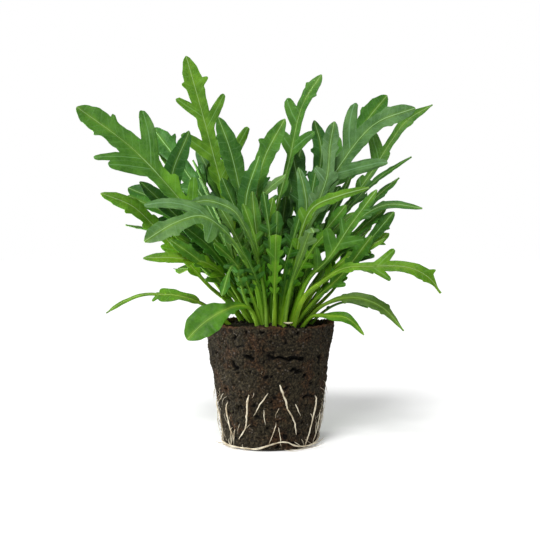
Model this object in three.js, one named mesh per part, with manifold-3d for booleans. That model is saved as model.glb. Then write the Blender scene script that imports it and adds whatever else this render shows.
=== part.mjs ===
// A clump of arugula growing in a small pot of pressed peat: the pot's ragged wall, the soil inside it, the
// leaves that rise from the soil on their own stalks, and the pale roots that have grown out through the wall.
// Millimetres, +Z up. The origin is the middle of the pot's flat base, and -Y faces the viewer.
import * as THREE from "three";
import Module from "manifold-3d";
import { mergeVertices } from "three/addons/utils/BufferGeometryUtils.js";

// Driving dimensions of the pot and its soil
const potHeight = 55;
const baseRadius = 21.6;
const rimRadius = 29.6;
const footRounding = 0.9;
const wall = 2.8;
const floorThickness = 3;
const soilDrop = 3;
const soilHeap = 2.9;
const clearance = 0.3;
const potSides = 36;

// Driving dimensions of every leaf
const stalkDepth = 5.5;
const stalkHalfWidth = 1.25;
const ribTipHalfWidth = 0.3;
const stalkHalfDepth = 1.05;
const ribTipHalfDepth = 0.42;
const bladeHalfThickness = 0.35;
const plainTaper = 0.62;
const stalkHoleGap = 0.4;
const rootGap = 0.4;

const wasm = await Module();
wasm.setup();

const smooth = (x) => {
  const t = Math.min(1, Math.max(0, x));
  return t * t * (3 - 2 * t);
};
const mix = (a, b, t) => a + (b - a) * t;

// Repeatable random numbers from 0 to 1
function drawsFrom(seed) {
  let state = seed;
  return () => {
    state = (state * 16807) % 2147483647;
    return state / 2147483647;
  };
}

// A closed body from rings of points that all have the same count, with a fan over each end
function loft(rings, diagonal = () => false) {
  const count = rings[0].length;
  const positions = rings.flat().flatMap((p) => [p.x, p.y, p.z]);
  const triangles = [];
  for (let i = 0; i < rings.length - 1; i++) {
    for (let j = 0; j < count; j++) {
      const a = i * count + j;
      const b = i * count + ((j + 1) % count);
      const c = a + count;
      const d = b + count;
      if (diagonal(j)) triangles.push(a, b, d, a, d, c);
      else triangles.push(a, b, c, b, d, c);
    }
  }
  const last = (rings.length - 1) * count;
  for (let j = 1; j < count - 1; j++) {
    triangles.push(0, j + 1, j);
    triangles.push(last, last + j, last + j + 1);
  }
  return outward(positions, triangles);
}

// The same body with its faces turned to point out
function outward(positions, triangles) {
  let volume = 0;
  const corner = (i) => new THREE.Vector3().fromArray(positions, 3 * i);
  for (let i = 0; i < triangles.length; i += 3) {
    const [a, b, c] = triangles.slice(i, i + 3).map(corner);
    volume += a.dot(b.cross(c));
  }
  const index = volume < 0 ? triangles.toReversed() : triangles;
  const geometry = new THREE.BufferGeometry();
  geometry.setAttribute("position", new THREE.Float32BufferAttribute(positions, 3));
  geometry.setIndex(index);
  return geometry;
}

function solidOf(geometry) {
  const merged = mergeVertices(geometry, 1e-4);
  const vertProperties = merged.attributes.position.array;
  const triVerts = new Uint32Array(merged.index.array);
  return new wasm.Manifold(new wasm.Mesh({ numProp: 3, vertProperties, triVerts }));
}

function geometryOf(solid) {
  const mesh = solid.getMesh();
  const geometry = new THREE.BufferGeometry();
  geometry.setAttribute("position", new THREE.BufferAttribute(new Float32Array(mesh.vertProperties), 3));
  geometry.setIndex(new THREE.BufferAttribute(new Uint32Array(mesh.triVerts), 1));
  return geometry;
}

// The pot: a tapering cup whose wall is lumpy as pressed peat is, with a worn and uneven rim

const rimHeightAt = (turn) => potHeight + 0.45 * Math.sin(3 * turn + 1) + 0.35 * Math.sin(7 * turn);
const lumps = (turn, z) =>
  0.28 * Math.sin(3 * turn + 0.11 * z) +
  0.22 * Math.sin(7 * turn - 0.23 * z + 1) +
  0.16 * Math.sin(5 * turn + 0.37 * z + 2);
const plainRadius = (z) => mix(baseRadius, rimRadius, z / potHeight);
const outsideRadius = (turn, z) => plainRadius(z) + lumps(turn, z) * smooth(z / 4);

function ringAt(radius, height) {
  return Array.from({ length: potSides }, (_, i) => {
    const turn = (2 * Math.PI * i) / potSides;
    const r = radius(turn);
    return new THREE.Vector3(r * Math.cos(turn), r * Math.sin(turn), height(turn));
  });
}

function potGeometry() {
  const outsideShares = [0.02, 0.12, 0.25, 0.38, 0.52, 0.66, 0.8, 0.91, 0.98];
  const rings = [ringAt(() => baseRadius - footRounding, () => 0)];
  for (const share of outsideShares) {
    const height = (turn) => share * rimHeightAt(turn);
    rings.push(ringAt((turn) => outsideRadius(turn, height(turn)), height));
  }
  const inside = (z) => plainRadius(z) - wall;
  rings.push(ringAt((turn) => outsideRadius(turn, potHeight) - wall / 4, rimHeightAt));
  rings.push(ringAt(() => inside(potHeight) + wall / 5, (turn) => rimHeightAt(turn) - 0.4));
  rings.push(ringAt(() => inside(potHeight - soilDrop), () => potHeight - soilDrop - 1));
  rings.push(ringAt(() => inside(floorThickness), () => floorThickness));
  return loft(rings);
}

// The soil: it fills the cup to a little below the rim and is heaped round the stalks

const soilTopAt = (share, turn) => {
  const heap = soilHeap * smooth((0.92 - share) / 0.5);
  const bank = 1.3 * smooth((share - 0.78) / 0.2);
  const crumbs = 0.3 * Math.sin(4 * turn + 5 * share) + 0.25 * Math.sin(7 * turn - 9 * share);
  return potHeight - soilDrop + 0.6 + heap - bank + crumbs * smooth((share - 0.8) * 10);
};

function soilSolid(holes) {
  const inside = (z) => plainRadius(z) - wall - clearance;
  const bottom = floorThickness + clearance;
  const shoulder = potHeight - soilDrop - 2;
  const rings = [ringAt(() => inside(bottom), () => bottom), ringAt(() => inside(shoulder), () => shoulder)];
  for (const share of [0.98, 0.88, 0.7, 0.42]) {
    rings.push(ringAt(() => share * inside(shoulder), (turn) => soilTopAt(share, turn)));
  }
  return holes.reduce((soil, hole) => soil.subtract(hole), solidOf(loft(rings)));
}

// The outlines that the blades have, as shares of the whole leaf from foot to tip. start is where the blade
// begins, wing its half width beside the rib, endLobe where the end lobe begins, and sweep how far forward the
// side ribs lean. A side lobe is [place, half length of its root, reach left, reach right]. Reaches and wing are
// in multiples of the end lobe's half width.
const forms = {
  cut: {
    start: 0.34, wing: 0.85, endLobe: 0.72, sweep: 0.74,
    lobes: [
      [0.41, 0.028, 0.6, 0.5], [0.52, 0.03, 1.5, 1.3], [0.64, 0.036, 2.9, 2.7], [0.88, 0.018, 1.1, 1.2],
    ],
  },
  toothed: {
    start: 0.3, wing: 0.75, endLobe: 0.64, sweep: 0.68,
    lobes: [
      [0.42, 0.028, 0.7, 0.6], [0.55, 0.034, 2.1, 1.8], [0.71, 0.025, 1.4, 1.3], [0.84, 0.018, 1.1, 1.2],
    ],
  },
  strap: {
    start: 0.34, wing: 0.5, endLobe: 0.6, sweep: 0.6,
    lobes: [[0.5, 0.028, 1.3, 0.8], [0.7, 0.02, 1.1, 1.35]],
  },
  spoon: { start: 0.3, wing: 0.4, endLobe: 0.44, sweep: 0.35, lobes: [] },
};

// The leaves. foot is where the stalk stands in the soil, rib the points that the midrib passes on its way to
// the tip, across the way that the right half of the blade points, and wide the end lobe's half width. A leaf
// may differ from its form, have a tip that tapers more (taper) and a stouter stalk than the others (stout).
const leaves = [
  {
    name: "leaf_left_longest", form: "cut", tone: "mid", foot: [-3.9, -3.1], across: [1, 0.5, 0.5],
    wide: 6.6, endLobe: 0.75, wing: 1.25,
    rib: [[-19.8, -11.5, 86.1], [-37.2, -20, 107.7], [-59.1, -24.5, 131.7], [-82.9, -27, 149.6]],
    lobes: [
      [0.5, 0.03, 0.5, 2.4], [0.585, 0.025, 0.9, 1.3], [0.69, 0.042, 3.15, 0], [0.7, 0.038, 0, 3.75],
      [0.735, 0.024, 3.4, 0], [0.845, 0.018, 0, 1.4], [0.865, 0.018, 1.1, 0],
    ],
  },
  {
    name: "leaf_top_left", form: "cut", tone: "fresh", foot: [-1, 5], across: [1, 0.25, 0],
    wide: 5.4, wing: 1,
    rib: [[-15.1, 7, 90], [-22.2, 9, 116.2], [-31.4, 11, 150.8], [-39.2, 11, 178.5]],
    lobes: [
      [0.42, 0.03, 0.5, 0.5], [0.565, 0.032, 1.2, 5.3], [0.645, 0.034, 3.4, 1.3],
      [0.745, 0.028, 0, 3.4], [0.785, 0.026, 2.8, 0], [0.885, 0.018, 1.15, 1.5],
    ],
  },
  {
    name: "leaf_upper_left_dark", form: "spoon", tone: "dark", foot: [-0.8, -2.3], across: [1, 0.4, 0.2],
    wide: 5.1, start: 0.4, endLobe: 0.64,
    rib: [[-9.5, -3.4, 88], [-13.3, -4.2, 112.6], [-18.4, -5.1, 134.3], [-23.5, -6, 148.1]],
    lobes: [[0.5, 0.03, 0.4, 0.5], [0.84, 0.02, 0.9, 1.05]],
  },
  {
    name: "leaf_left_behind", form: "cut", tone: "dark", foot: [-4.8, 1.1], across: [0.9, -0.3, 0.4],
    wide: 6.2, wing: 0.95,
    rib: [[-20.1, 8.2, 90], [-31.4, 14.5, 112.3], [-39.8, 18.8, 125.2], [-56.1, 24, 146.5]],
    lobes: [[0.54, 0.036, 4, 1.4], [0.66, 0.04, 1.6, 2.2], [0.88, 0.02, 0.9, 1.25]],
  },
  {
    name: "leaf_left_folded", form: "spoon", tone: "dark", foot: [-1.6, 1.1], across: [1, 0.5, 0],
    wide: 4.8, start: 0.5, endLobe: 0.66,
    rib: [[-17.9, -1.8, 84], [-35.7, -6.5, 102.9], [-44, -9.2, 118.7], [-36, -12, 141.2]],
    lobes: [[0.58, 0.03, 0.5, 0.5]],
  },
  {
    name: "leaf_left_mid", form: "toothed", tone: "fresh", foot: [-7.1, -2.8], across: [0.8, 0.6, 0.6],
    wide: 4.5,
    rib: [
      [-19.1, -3, 64.5], [-26.4, -3.5, 70.5], [-37.7, -4, 82.7], [-50.3, -4.5, 96.4],
      [-62.1, -4.5, 107.7], [-76.7, -4, 113.8],
    ],
    lobes: [
      [0.42, 0.028, 0.9, 1.3], [0.56, 0.036, 1.6, 2.6], [0.7, 0.028, 1.3, 1.2], [0.82, 0.02, 1.3, 1],
    ],
  },
  {
    name: "leaf_left_back_thin", form: "strap", tone: "mid", foot: [-8, 1.1], across: [0.2, 1, 0.2],
    wide: 3.6,
    rib: [[-20.3, 3, 66.5], [-28.8, 6, 77], [-40.4, 12, 88.1], [-54.1, 20, 96.1], [-70.1, 28, 100.1]],
  },
  {
    name: "leaf_left_back_small", form: "toothed", tone: "fresh", foot: [-7.4, 5.2], across: [0.4, 0.8, 0.3],
    wide: 3.6,
    rib: [[-19.2, 10, 66.1], [-27.5, 16, 75.2], [-34.9, 20, 79.4], [-44.4, 24, 79]],
  },
  {
    name: "leaf_left_level", form: "strap", tone: "fresh", foot: [-4.8, -6.9], across: [-0.1, 0.5, 0.85],
    wide: 3, wing: 0.85,
    rib: [[-16.9, -11, 72.1], [-27.6, -15, 82.1], [-42.1, -18, 84.7], [-55.5, -20, 84.7]],
    lobes: [
      [0.5, 0.028, 2.6, 1.2], [0.6, 0.024, 1.1, 1.4], [0.7, 0.022, 1.5, 1.1], [0.84, 0.02, 0.9, 1.2],
    ],
  },
  {
    name: "leaf_left_low_long", form: "strap", tone: "fresh", foot: [-10.5, -0.4], across: [0, 0.35, 0.9],
    wide: 1.25, endLobe: 0.8, wing: 0.9, taper: 1.3,
    rib: [
      [-29.9, 1.8, 62.6], [-41.2, 5, 66.6], [-50.3, 8, 67.3], [-59.9, 10, 67], [-69.5, 11.5, 63.2],
      [-77.1, 12, 58.4],
    ],
    lobes: [[0.45, 0.08, 1.7, 2.2], [0.555, 0.075, 3.6, 3], [0.635, 0.018, 3.7, 1]],
  },
  {
    name: "leaf_front_left_arching", form: "cut", tone: "grey", foot: [-2.5, -11.1], across: [-0.2, 0.35, 0.9],
    wide: 5, endLobe: 0.74, wing: 0.75, sweep: [0.15, 0.84], stout: 1.6,
    rib: [
      [-5.9, -16.2, 72.1], [-13.4, -25.3, 88], [-21.5, -31.5, 98], [-29.3, -36.7, 102.6],
      [-39.1, -40.8, 99.9], [-51.7, -45, 92],
    ],
    lobes: [
      [0.46, 0.03, 0.7, 0.8], [0.56, 0.03, 1.1, 1], [0.665, 0.047, 2.4, 0], [0.695, 0.045, 0, 5],
      [0.86, 0.02, 1.1, 1.05],
    ],
  },
  {
    name: "leaf_front_left_spoon", form: "spoon", tone: "mid", foot: [-4.2, -14.7], across: [-0.6, 0.35, 0.7],
    wide: 7.2, endLobe: 0.5,
    rib: [
      [-8.4, -17, 61.9], [-14.4, -20, 63.6], [-20.9, -22, 61.4], [-26.9, -24, 57.9], [-31.9, -26, 53.8],
      [-35.6, -28, 49.7],
    ],
    lobes: [[0.5, 0.03, 0.5, 0.6]],
  },
  {
    name: "leaf_centre_round", form: "spoon", tone: "dark", foot: [-0.2, -6.5], across: [1, -0.4, 0],
    wide: 4.4, start: 0.4, endLobe: 0.58,
    rib: [[-7, -9.5, 88], [-10.5, -13, 109.9], [-4.6, -15, 129.7]],
    lobes: [[0.52, 0.03, 0.4, 0.4]],
  },
  {
    name: "leaf_centre_toothed", form: "toothed", tone: "mid", foot: [2.1, -3.7], across: [1, 0, -0.2],
    wide: 4.8, endLobe: 0.62, wing: 0.75,
    rib: [[-4, -4, 88], [-6.3, -6, 112], [-2.7, -6.5, 129], [6.7, -6, 147.2]],
    lobes: [[0.5, 0.03, 1, 1], [0.72, 0.022, 1.2, 0.9], [0.85, 0.02, 1.2, 0.8]],
  },
  {
    name: "leaf_top_right", form: "cut", tone: "mid", foot: [2.4, 1.1], across: [1, -0.3, -0.3],
    wide: 3.8, endLobe: 0.78, wing: 0.9,
    rib: [[0.5, 1.2, 85], [3, 2.4, 106.1], [8.6, 3.6, 127.3], [15.1, 4.8, 154.7], [23.8, 6, 169]],
    lobes: [
      [0.55, 0.03, 0.9, 1], [0.7, 0.034, 2.4, 3.5], [0.8, 0.036, 3.1, 0], [0.9, 0.016, 0, 1.25],
      [0.93, 0.014, 1.1, 0],
    ],
  },
  {
    name: "leaf_centre_dark", form: "spoon", tone: "grey", foot: [4.6, -1.8], across: [1, 0.2, 0],
    wide: 4,
    rib: [[9, -3, 86], [16.3, -4, 106], [15.3, -4, 116.5], [12.8, -4, 125.5]],
  },
  {
    name: "leaf_front_small", form: "cut", tone: "fresh", foot: [2, -16.4], across: [1, 0, 0],
    wide: 3.7, endLobe: 0.86,
    rib: [[2, -20, 68], [2.3, -26, 83], [2.5, -29, 95]],
    lobes: [
      [0.47, 0.025, 0.9, 0.8], [0.56, 0.03, 1.1, 1.15], [0.67, 0.03, 1.35, 1.2],
      [0.79, 0.035, 1.6, 1.35],
    ],
  },
  {
    name: "leaf_front_towards", form: "toothed", tone: "grey", foot: [5.1, -15.5], across: [1, 0, 0.1],
    wide: 3.6, endLobe: 0.74,
    rib: [[9, -19, 72], [14, -27, 88], [17, -35, 97], [18, -45, 96]],
    lobes: [[0.6, 0.03, 0.6, 0.5], [0.72, 0.035, 1.3, 1.6]],
  },
  {
    name: "leaf_front_right_lobed", form: "cut", tone: "mid", foot: [6.4, -10], across: [0.8, -0.1, -0.6],
    wide: 2.4, endLobe: 0.74, wing: 1.4, stout: 1.3,
    rib: [[16.4, -15.5, 74.6], [25.3, -22, 84.4], [34.3, -29, 98.7], [44.9, -36, 113.7]],
    lobes: [
      [0.46, 0.034, 4.6, 0.9], [0.585, 0.055, 4.9, 0], [0.645, 0.045, 0, 5], [0.705, 0.026, 3.2, 0],
      [0.87, 0.02, 1.2, 1.6],
    ],
  },
  {
    name: "leaf_right_level", form: "cut", tone: "fresh", foot: [8.6, -14.9], across: [0.1, -0.45, -0.9],
    wide: 4.4, start: 0.3, endLobe: 0.7, wing: 0.85, taper: 2, stout: 1.35,
    rib: [
      [14.5, -18.8, 66.6], [22.6, -23.7, 74.5], [32.3, -27.5, 80.4], [43.6, -30.3, 81.2],
      [58.7, -32.2, 80.8], [66.6, -33.2, 77], [72.4, -34, 70.2],
    ],
    lobes: [
      [0.5, 0.03, 0.75, 0.88], [0.655, 0.034, 2.25, 0], [0.635, 0.03, 0, 2.4],
      [0.885, 0.018, 1.15, 0.8],
    ],
  },
  {
    name: "leaf_right_lowest", form: "spoon", tone: "mid", foot: [9.8, -11.1], across: [0.3, -0.6, -0.7],
    wide: 2.5,
    rib: [[18.6, -14, 58.5], [26.8, -18, 59.1], [33.5, -22, 58.5], [40.6, -26, 51.7]],
  },
  {
    name: "leaf_right_low_arching", form: "spoon", tone: "grey", foot: [9.6, -6.9], across: [0.3, -0.5, -0.8],
    wide: 3.2, taper: 0.95,
    rib: [[22.9, -9, 62.7], [36, -13, 67.1], [48.6, -16, 63.3], [58.8, -19, 52.8]],
    lobes: [[0.5, 0.02, 0.6, 0.9], [0.8, 0.02, 0.95, 1.05]],
  },
  {
    name: "leaf_right_low_thin", form: "strap", tone: "dark", foot: [11.6, -2.9], across: [0, -1, 0],
    wide: 2.6,
    rib: [[25.2, 1, 60.2], [35.2, 5, 64], [45.8, 9, 61.2]],
  },
  {
    name: "leaf_right_arching", form: "toothed", tone: "dark", foot: [8.5, -2.3], across: [0, -0.5, -0.85],
    wide: 2.3,
    rib: [[15.9, -4, 64.1], [25.7, -7, 81.5], [36.7, -10, 99], [51.3, -12, 108.1], [67.5, -14, 106.7]],
    lobes: [
      [0.42, 0.028, 1.1, 1.1], [0.55, 0.036, 3, 2.6], [0.71, 0.025, 2.2, 1.7], [0.8, 0.018, 1.2, 1.1],
    ],
  },
  {
    name: "leaf_right_edgewise", form: "strap", tone: "dark", foot: [7.1, 1.1], across: [0.3, -0.9, -0.2],
    wide: 3.4,
    rib: [[19.1, 5.8, 84], [34.4, 10, 104.1], [48.9, 12.8, 119.5], [66.6, 14, 131.9]],
    lobes: [[0.5, 0.03, 1.3, 0.8], [0.68, 0.03, 1.4, 2.6]],
  },
  {
    name: "leaf_right_far", form: "toothed", tone: "mid", foot: [6.9, 6.6], across: [0.8, 0, -0.6],
    wide: 3, endLobe: 0.74, wing: 0.9, taper: 0.95,
    rib: [
      [18.1, 11.6, 81.9], [30.5, 18.2, 100.1], [49.1, 23.8, 125.8], [58.8, 27, 140.8],
      [66.3, 28.5, 150.6], [79, 30, 158.5],
    ],
    lobes: [
      [0.5, 0.03, 0.8, 1], [0.6, 0.03, 1.6, 1.8], [0.715, 0.036, 4.6, 1.5], [0.88, 0.02, 1.15, 1.2],
    ],
  },
  {
    name: "leaf_upper_right", form: "cut", tone: "grey", foot: [6.2, -4.6], across: [0.8, -0.4, -0.6],
    wide: 5, endLobe: 0.76, wing: 1.15,
    rib: [
      [13.9, -9.2, 90], [21.1, -14.4, 110.3], [29, -18.6, 122.8], [45, -22.8, 142.5],
      [62.3, -27, 149.2],
    ],
    lobes: [
      [0.42, 0.03, 0.6, 0.6], [0.52, 0.035, 1.1, 1.5], [0.635, 0.036, 1.2, 5.1], [0.73, 0.037, 3.85, 1],
      [0.88, 0.02, 1.2, 1],
    ],
  },
  {
    name: "leaf_upper_right_front", form: "toothed", tone: "grey", foot: [3.9, -6.9], across: [1, -0.4, -0.2],
    wide: 4.2, endLobe: 0.76, wing: 0.9,
    rib: [
      [11, -13.4, 86], [19.9, -17.8, 105.9], [25.1, -20.2, 120.7], [26.2, -21.6, 133.5],
      [28, -22, 144.1],
    ],
    lobes: [[0.5, 0.03, 1.3, 1.1], [0.62, 0.035, 1.6, 1.7], [0.74, 0.03, 2, 1.5], [0.86, 0.02, 1.1, 1.2]],
  },
  {
    name: "leaf_upper_right_behind", form: "cut", tone: "mid", foot: [5.2, 4], across: [0.8, 0.2, -0.5],
    wide: 6, wing: 0.85,
    rib: [[16.1, 7.2, 92], [32.5, 11.5, 126.5], [44.9, 15.2, 148.2], [55.5, 19, 161.4]],
    lobes: [[0.5, 0.03, 1.1, 1.1], [0.62, 0.04, 2.4, 2], [0.86, 0.02, 1.15, 0.9]],
  },
  {
    name: "leaf_top_centre_dark", form: "toothed", tone: "dark", foot: [2.2, 5.1], across: [1, 0.2, 0],
    wide: 4.6,
    rib: [[8.4, 8.7, 75.9], [16, 11, 101.2], [22.6, 13, 122.9], [24.1, 14, 135.3], [20.8, 15, 149.1]],
  },
  {
    name: "leaf_right_back_mid", form: "toothed", tone: "dark", foot: [10, 5.6], across: [0.3, -0.9, -0.2],
    wide: 5.2,
    rib: [[17.3, 9, 62.9], [28.5, 16, 81.9], [44.2, 27, 105.4], [62.6, 34, 122.4]],
  },
  {
    name: "leaf_right_thin", form: "toothed", tone: "mid", foot: [10.3, 1.1], across: [0.2, -0.9, -0.2],
    wide: 4.4,
    rib: [[16.1, 2, 59.6], [27.8, 5, 75.6], [40.2, 9, 91.4], [54.8, 14, 109.3]],
    lobes: [
      [0.45, 0.03, 1.2, 1.2], [0.58, 0.034, 1.8, 1.6], [0.72, 0.03, 2.2, 2.3], [0.87, 0.02, 1.1, 1.1],
    ],
  },
  {
    name: "leaf_right_back_low", form: "cut", tone: "fresh", foot: [10.6, 9.3], across: [0.5, -0.7, -0.7],
    wide: 3.6,
    rib: [[19.2, 9, 58.7], [30.1, 12, 69.7], [40.8, 16, 84.7], [56.9, 20, 95.9]],
    lobes: [
      [0.5, 0.03, 1.5, 1.3], [0.62, 0.036, 2.2, 1.5], [0.74, 0.036, 3.6, 1.7], [0.88, 0.024, 1.3, 1.5],
    ],
  },
  {
    name: "leaf_front_bright", form: "strap", tone: "fresh", foot: [3.2, -12.4], across: [0.6, 0, -0.8],
    wide: 2.3, stout: 1.35,
    rib: [
      [10.9, -16.2, 80.1], [13.9, -22.4, 96.9], [18.7, -26.6, 106.8], [29.4, -29.8, 111.6],
      [41.9, -33, 114.9],
    ],
    lobes: [[0.5, 0.03, 1.6, 1.2], [0.64, 0.03, 2.4, 1.3], [0.8, 0.02, 1.1, 1.2]],
  },
  {
    name: "leaf_centre_left_level", form: "spoon", tone: "grey", foot: [-1.2, -16], across: [-0.1, 0.4, 0.9],
    wide: 2.8, start: 0.42, endLobe: 0.66, wing: 1,
    rib: [
      [-2.2, -17, 66.3], [-3.9, -20, 77.4], [-7, -22, 88.3], [-10.8, -24, 97], [-15.5, -26, 104.8],
      [-21, -28, 107.9], [-28.1, -31, 109.3], [-35.1, -34, 107.1],
    ],
    lobes: [[0.5, 0.04, 0.9, 0.9], [0.6, 0.04, 1.2, 1.1]],
  },
  {
    name: "leaf_centre_young", form: "spoon", tone: "mid", foot: [1.1, -9.5], across: [1, 0, 0],
    wide: 3, start: 0.42, endLobe: 0.6,
    rib: [[-2, -13, 75], [-6, -17, 96], [-7.8, -19, 114]],
    lobes: [[0.52, 0.03, 0.5, 0.5]],
  },
  {
    name: "leaf_back_centre_low", form: "cut", tone: "mid", foot: [1.1, 15.8], across: [1, 0, 0],
    wide: 6.3,
    rib: [[0.5, 26, 80], [2, 42, 98], [3, 57, 106]],
  },
  {
    name: "leaf_back_left_low", form: "cut", tone: "fresh", foot: [-6.3, 9.2], across: [0.7, 0.7, 0],
    wide: 6.2,
    rib: [[-20, 20, 70], [-34, 34, 80], [-46, 46, 76]],
  },
  {
    name: "leaf_back_low_left", form: "toothed", tone: "mid", foot: [-1.1, 13.4], across: [1, 0.3, 0],
    wide: 5.8,
    rib: [[-8, 26, 72], [-14, 44, 82], [-18, 60, 76]],
  },
  {
    name: "leaf_back_low_right", form: "cut", tone: "fresh", foot: [2.5, 13.4], across: [1, -0.4, 0],
    wide: 6,
    rib: [[9, 26, 70], [16, 44, 80], [24, 60, 78]],
  },
  {
    name: "leaf_back_right_low", form: "toothed", tone: "mid", foot: [8.1, 11.3], across: [0.65, -0.75, 0],
    wide: 6,
    rib: [[22, 20, 70], [38, 34, 80], [52, 46, 76]],
  },
  {
    name: "leaf_back_left_mid", form: "cut", tone: "dark", foot: [-4.2, 5.2], across: [0.3, 0.6, 0.7],
    wide: 6.6,
    rib: [[-22, 14, 82], [-43, 23, 106], [-69, 29, 118]],
  },
  {
    name: "leaf_back_mid", form: "cut", tone: "mid", foot: [-0.1, 9.9], across: [1, 0.1, 0],
    wide: 7,
    rib: [[-5, 20, 86], [-9, 38, 112], [-12, 52, 128]],
  },
  {
    name: "leaf_back_right_mid", form: "cut", tone: "dark", foot: [5.9, 13.6], across: [0.9, -0.4, 0],
    wide: 6.6,
    rib: [[12, 20, 86], [22, 36, 110], [32, 48, 126]],
  },
  {
    name: "leaf_back_left_upright", form: "cut", tone: "mid", foot: [-3.1, 9], across: [1, 0.3, 0.3],
    wide: 6.2,
    rib: [[-11, 15, 92], [-17, 25, 123], [-24, 31, 146]],
  },
  {
    name: "leaf_back_upright", form: "toothed", tone: "dark", foot: [2.6, 8.2], across: [1, 0, 0],
    wide: 5.2,
    rib: [[5, 15, 92], [10, 22, 116], [15, 26, 137]],
  },
  {
    name: "leaf_back_right_upright", form: "cut", tone: "mid", foot: [5.2, 10.2], across: [0.9, -0.3, -0.2],
    wide: 6,
    rib: [[15, 14, 92], [25, 23, 122], [33, 27, 143]],
  },
  {
    name: "leaf_back_left_spread", form: "toothed", tone: "fresh", foot: [-4.2, 13.8], across: [0.8, 0.5, 0],
    wide: 5.8,
    rib: [[-18, 25, 78], [-30, 40, 97], [-40, 52, 106]],
  },
  {
    name: "leaf_back_right_spread", form: "toothed", tone: "fresh", foot: [8.9, 14.8], across: [0.85, -0.5, 0],
    wide: 5.8,
    rib: [[18, 25, 78], [32, 39, 98], [44, 52, 107]],
  },
];

// Everything that the surface of one leaf needs: its length, its midrib's frames and its own jittered lobes
function leafShape(leaf, index) {
  const draw = drawsFrom(1000 + 37 * index);
  const form = forms[leaf.form];
  const foot = new THREE.Vector3(...leaf.foot, potHeight - soilDrop - stalkDepth);
  const points = [foot, ...leaf.rib.map((p) => new THREE.Vector3(...p))];
  const curve = new THREE.CatmullRomCurve3(points, false, "centripetal");
  const steps = 160;
  const path = curve.getSpacedPoints(steps);
  const length = curve.getLength();
  const jitter = leaf.lobes ? 0 : 1;
  const varied = (value, share) => value * (1 + jitter * share * (2 * draw() - 1));
  const lobes = (leaf.lobes ?? form.lobes).map(([place, half, left, right]) => {
    const shift = 0.016 * jitter * (draw() - 0.5);
    return [place + shift, varied(half, 0.1), varied(left, 0.12), varied(right, 0.12)];
  });
  return {
    ...form,
    ...leaf,
    lobes,
    path,
    length,
    steps,
    right: new THREE.Vector3(...leaf.across),
    fold: 0.12 + 0.16 * draw(),
    curl: 0.006 + 0.006 * draw(),
    waveHeight: 0.5 + 0.5 * draw(),
    waveLength: 20 + 10 * draw(),
    wavePhase: 6.28 * draw(),
  };
}

// The midrib's point, tangent, rightward and upper-face directions at a distance from the foot
function frameAt(shape, distance) {
  const place = Math.min(1, Math.max(0, distance / shape.length)) * shape.steps;
  const i = Math.min(shape.steps - 1, Math.floor(place));
  const point = new THREE.Vector3().lerpVectors(shape.path[i], shape.path[i + 1], place - i);
  const before = shape.path[Math.max(0, i - 3)];
  const after = shape.path[Math.min(shape.steps, i + 4)];
  const tangent = new THREE.Vector3().subVectors(after, before).normalize();
  const right = shape.right.clone().addScaledVector(tangent, -shape.right.dot(tangent)).normalize();
  const up = new THREE.Vector3().crossVectors(right, tangent);
  return { point, right, up };
}

// How far forward the side ribs lean, which may be a pair for the left and the right half of the blade
const sweepOf = ({ sweep }, side) => (Array.isArray(sweep) ? sweep[side > 0 ? 1 : 0] : sweep);

const stalkHalf = (shape, share) =>
  (shape.stout ?? 1) * mix(stalkHalfWidth, ribTipHalfWidth, Math.pow(share, 0.8));

// How far the blade reaches from the midrib along a side rib that starts at a share of the length. Long lobes end
// squarely across the side ribs.
function reachAt(shape, share, side) {
  const end = (share - shape.endLobe) / (1 - shape.endLobe);
  let endLobe = 0;
  if (end > 0 && end < 0.4) endLobe = shape.wide * Math.pow(1 - Math.pow((0.4 - end) / 0.4, 2), 0.9);
  const falling = Math.max(0, 1 - Math.pow((end - 0.4) / 0.6, 2.2));
  if (end >= 0.4) endLobe = shape.wide * Math.pow(falling, shape.taper ?? plainTaper);
  const grown = Math.min(1, Math.max(0, (share - shape.start) / (shape.endLobe - shape.start)));
  const wing = shape.wide * shape.wing * Math.pow(grown, 0.8) * (1 - smooth(end));
  const parts = [stalkHalf(shape, share), wing, endLobe];
  for (const [place, half, left, right] of shape.lobes) {
    const x = (share - place) / half;
    const reach = shape.wide * (side > 0 ? right : left);
    const root = half * shape.length;
    const squared = sweepOf(shape, side) * root * Math.min(1, Math.max(0, (reach / root - 1) / 2));
    const finger = Math.abs(x) < 1 ? Math.pow(1 - Math.pow(Math.abs(x), 3.2), 0.5) : 0;
    parts.push((reach - squared * x) * finger, reach * 0.3 * Math.exp(-x * x / 2));
  }
  return Math.pow(parts.reduce((sum, part) => sum + Math.pow(part, 5), 0), 0.2);
}

// The edge of the blade in the flat leaf: how far along it lies and how far out. Side ribs sweep forward.
function edgeAt(shape, share, side) {
  const reach = reachAt(shape, share, side);
  const rise = smooth((share - shape.start) / 0.1);
  const fade = 1 - 0.85 * smooth((share - shape.endLobe - 0.08) / (0.92 - shape.endLobe));
  const forward = sweepOf(shape, side) * rise * fade;
  return [share * shape.length + reach * forward, side * reach * Math.sqrt(1 - forward * forward)];
}

// A point of the bent leaf from its flat place, raised by height from the middle of the blade
function onLeaf(shape, along, out, height) {
  const { point, right, up } = frameAt(shape, along);
  const width = Math.abs(out);
  const turn = (2 * Math.PI * along) / shape.waveLength + shape.wavePhase + (out > 0 ? 1.1 : 0);
  const wave = shape.waveHeight * Math.pow(width / 10, 1.5) * Math.sin(turn);
  const lift = shape.fold * width - shape.curl * width * width + wave;
  return point.addScaledVector(right, out).addScaledVector(up, lift + height);
}

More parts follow.
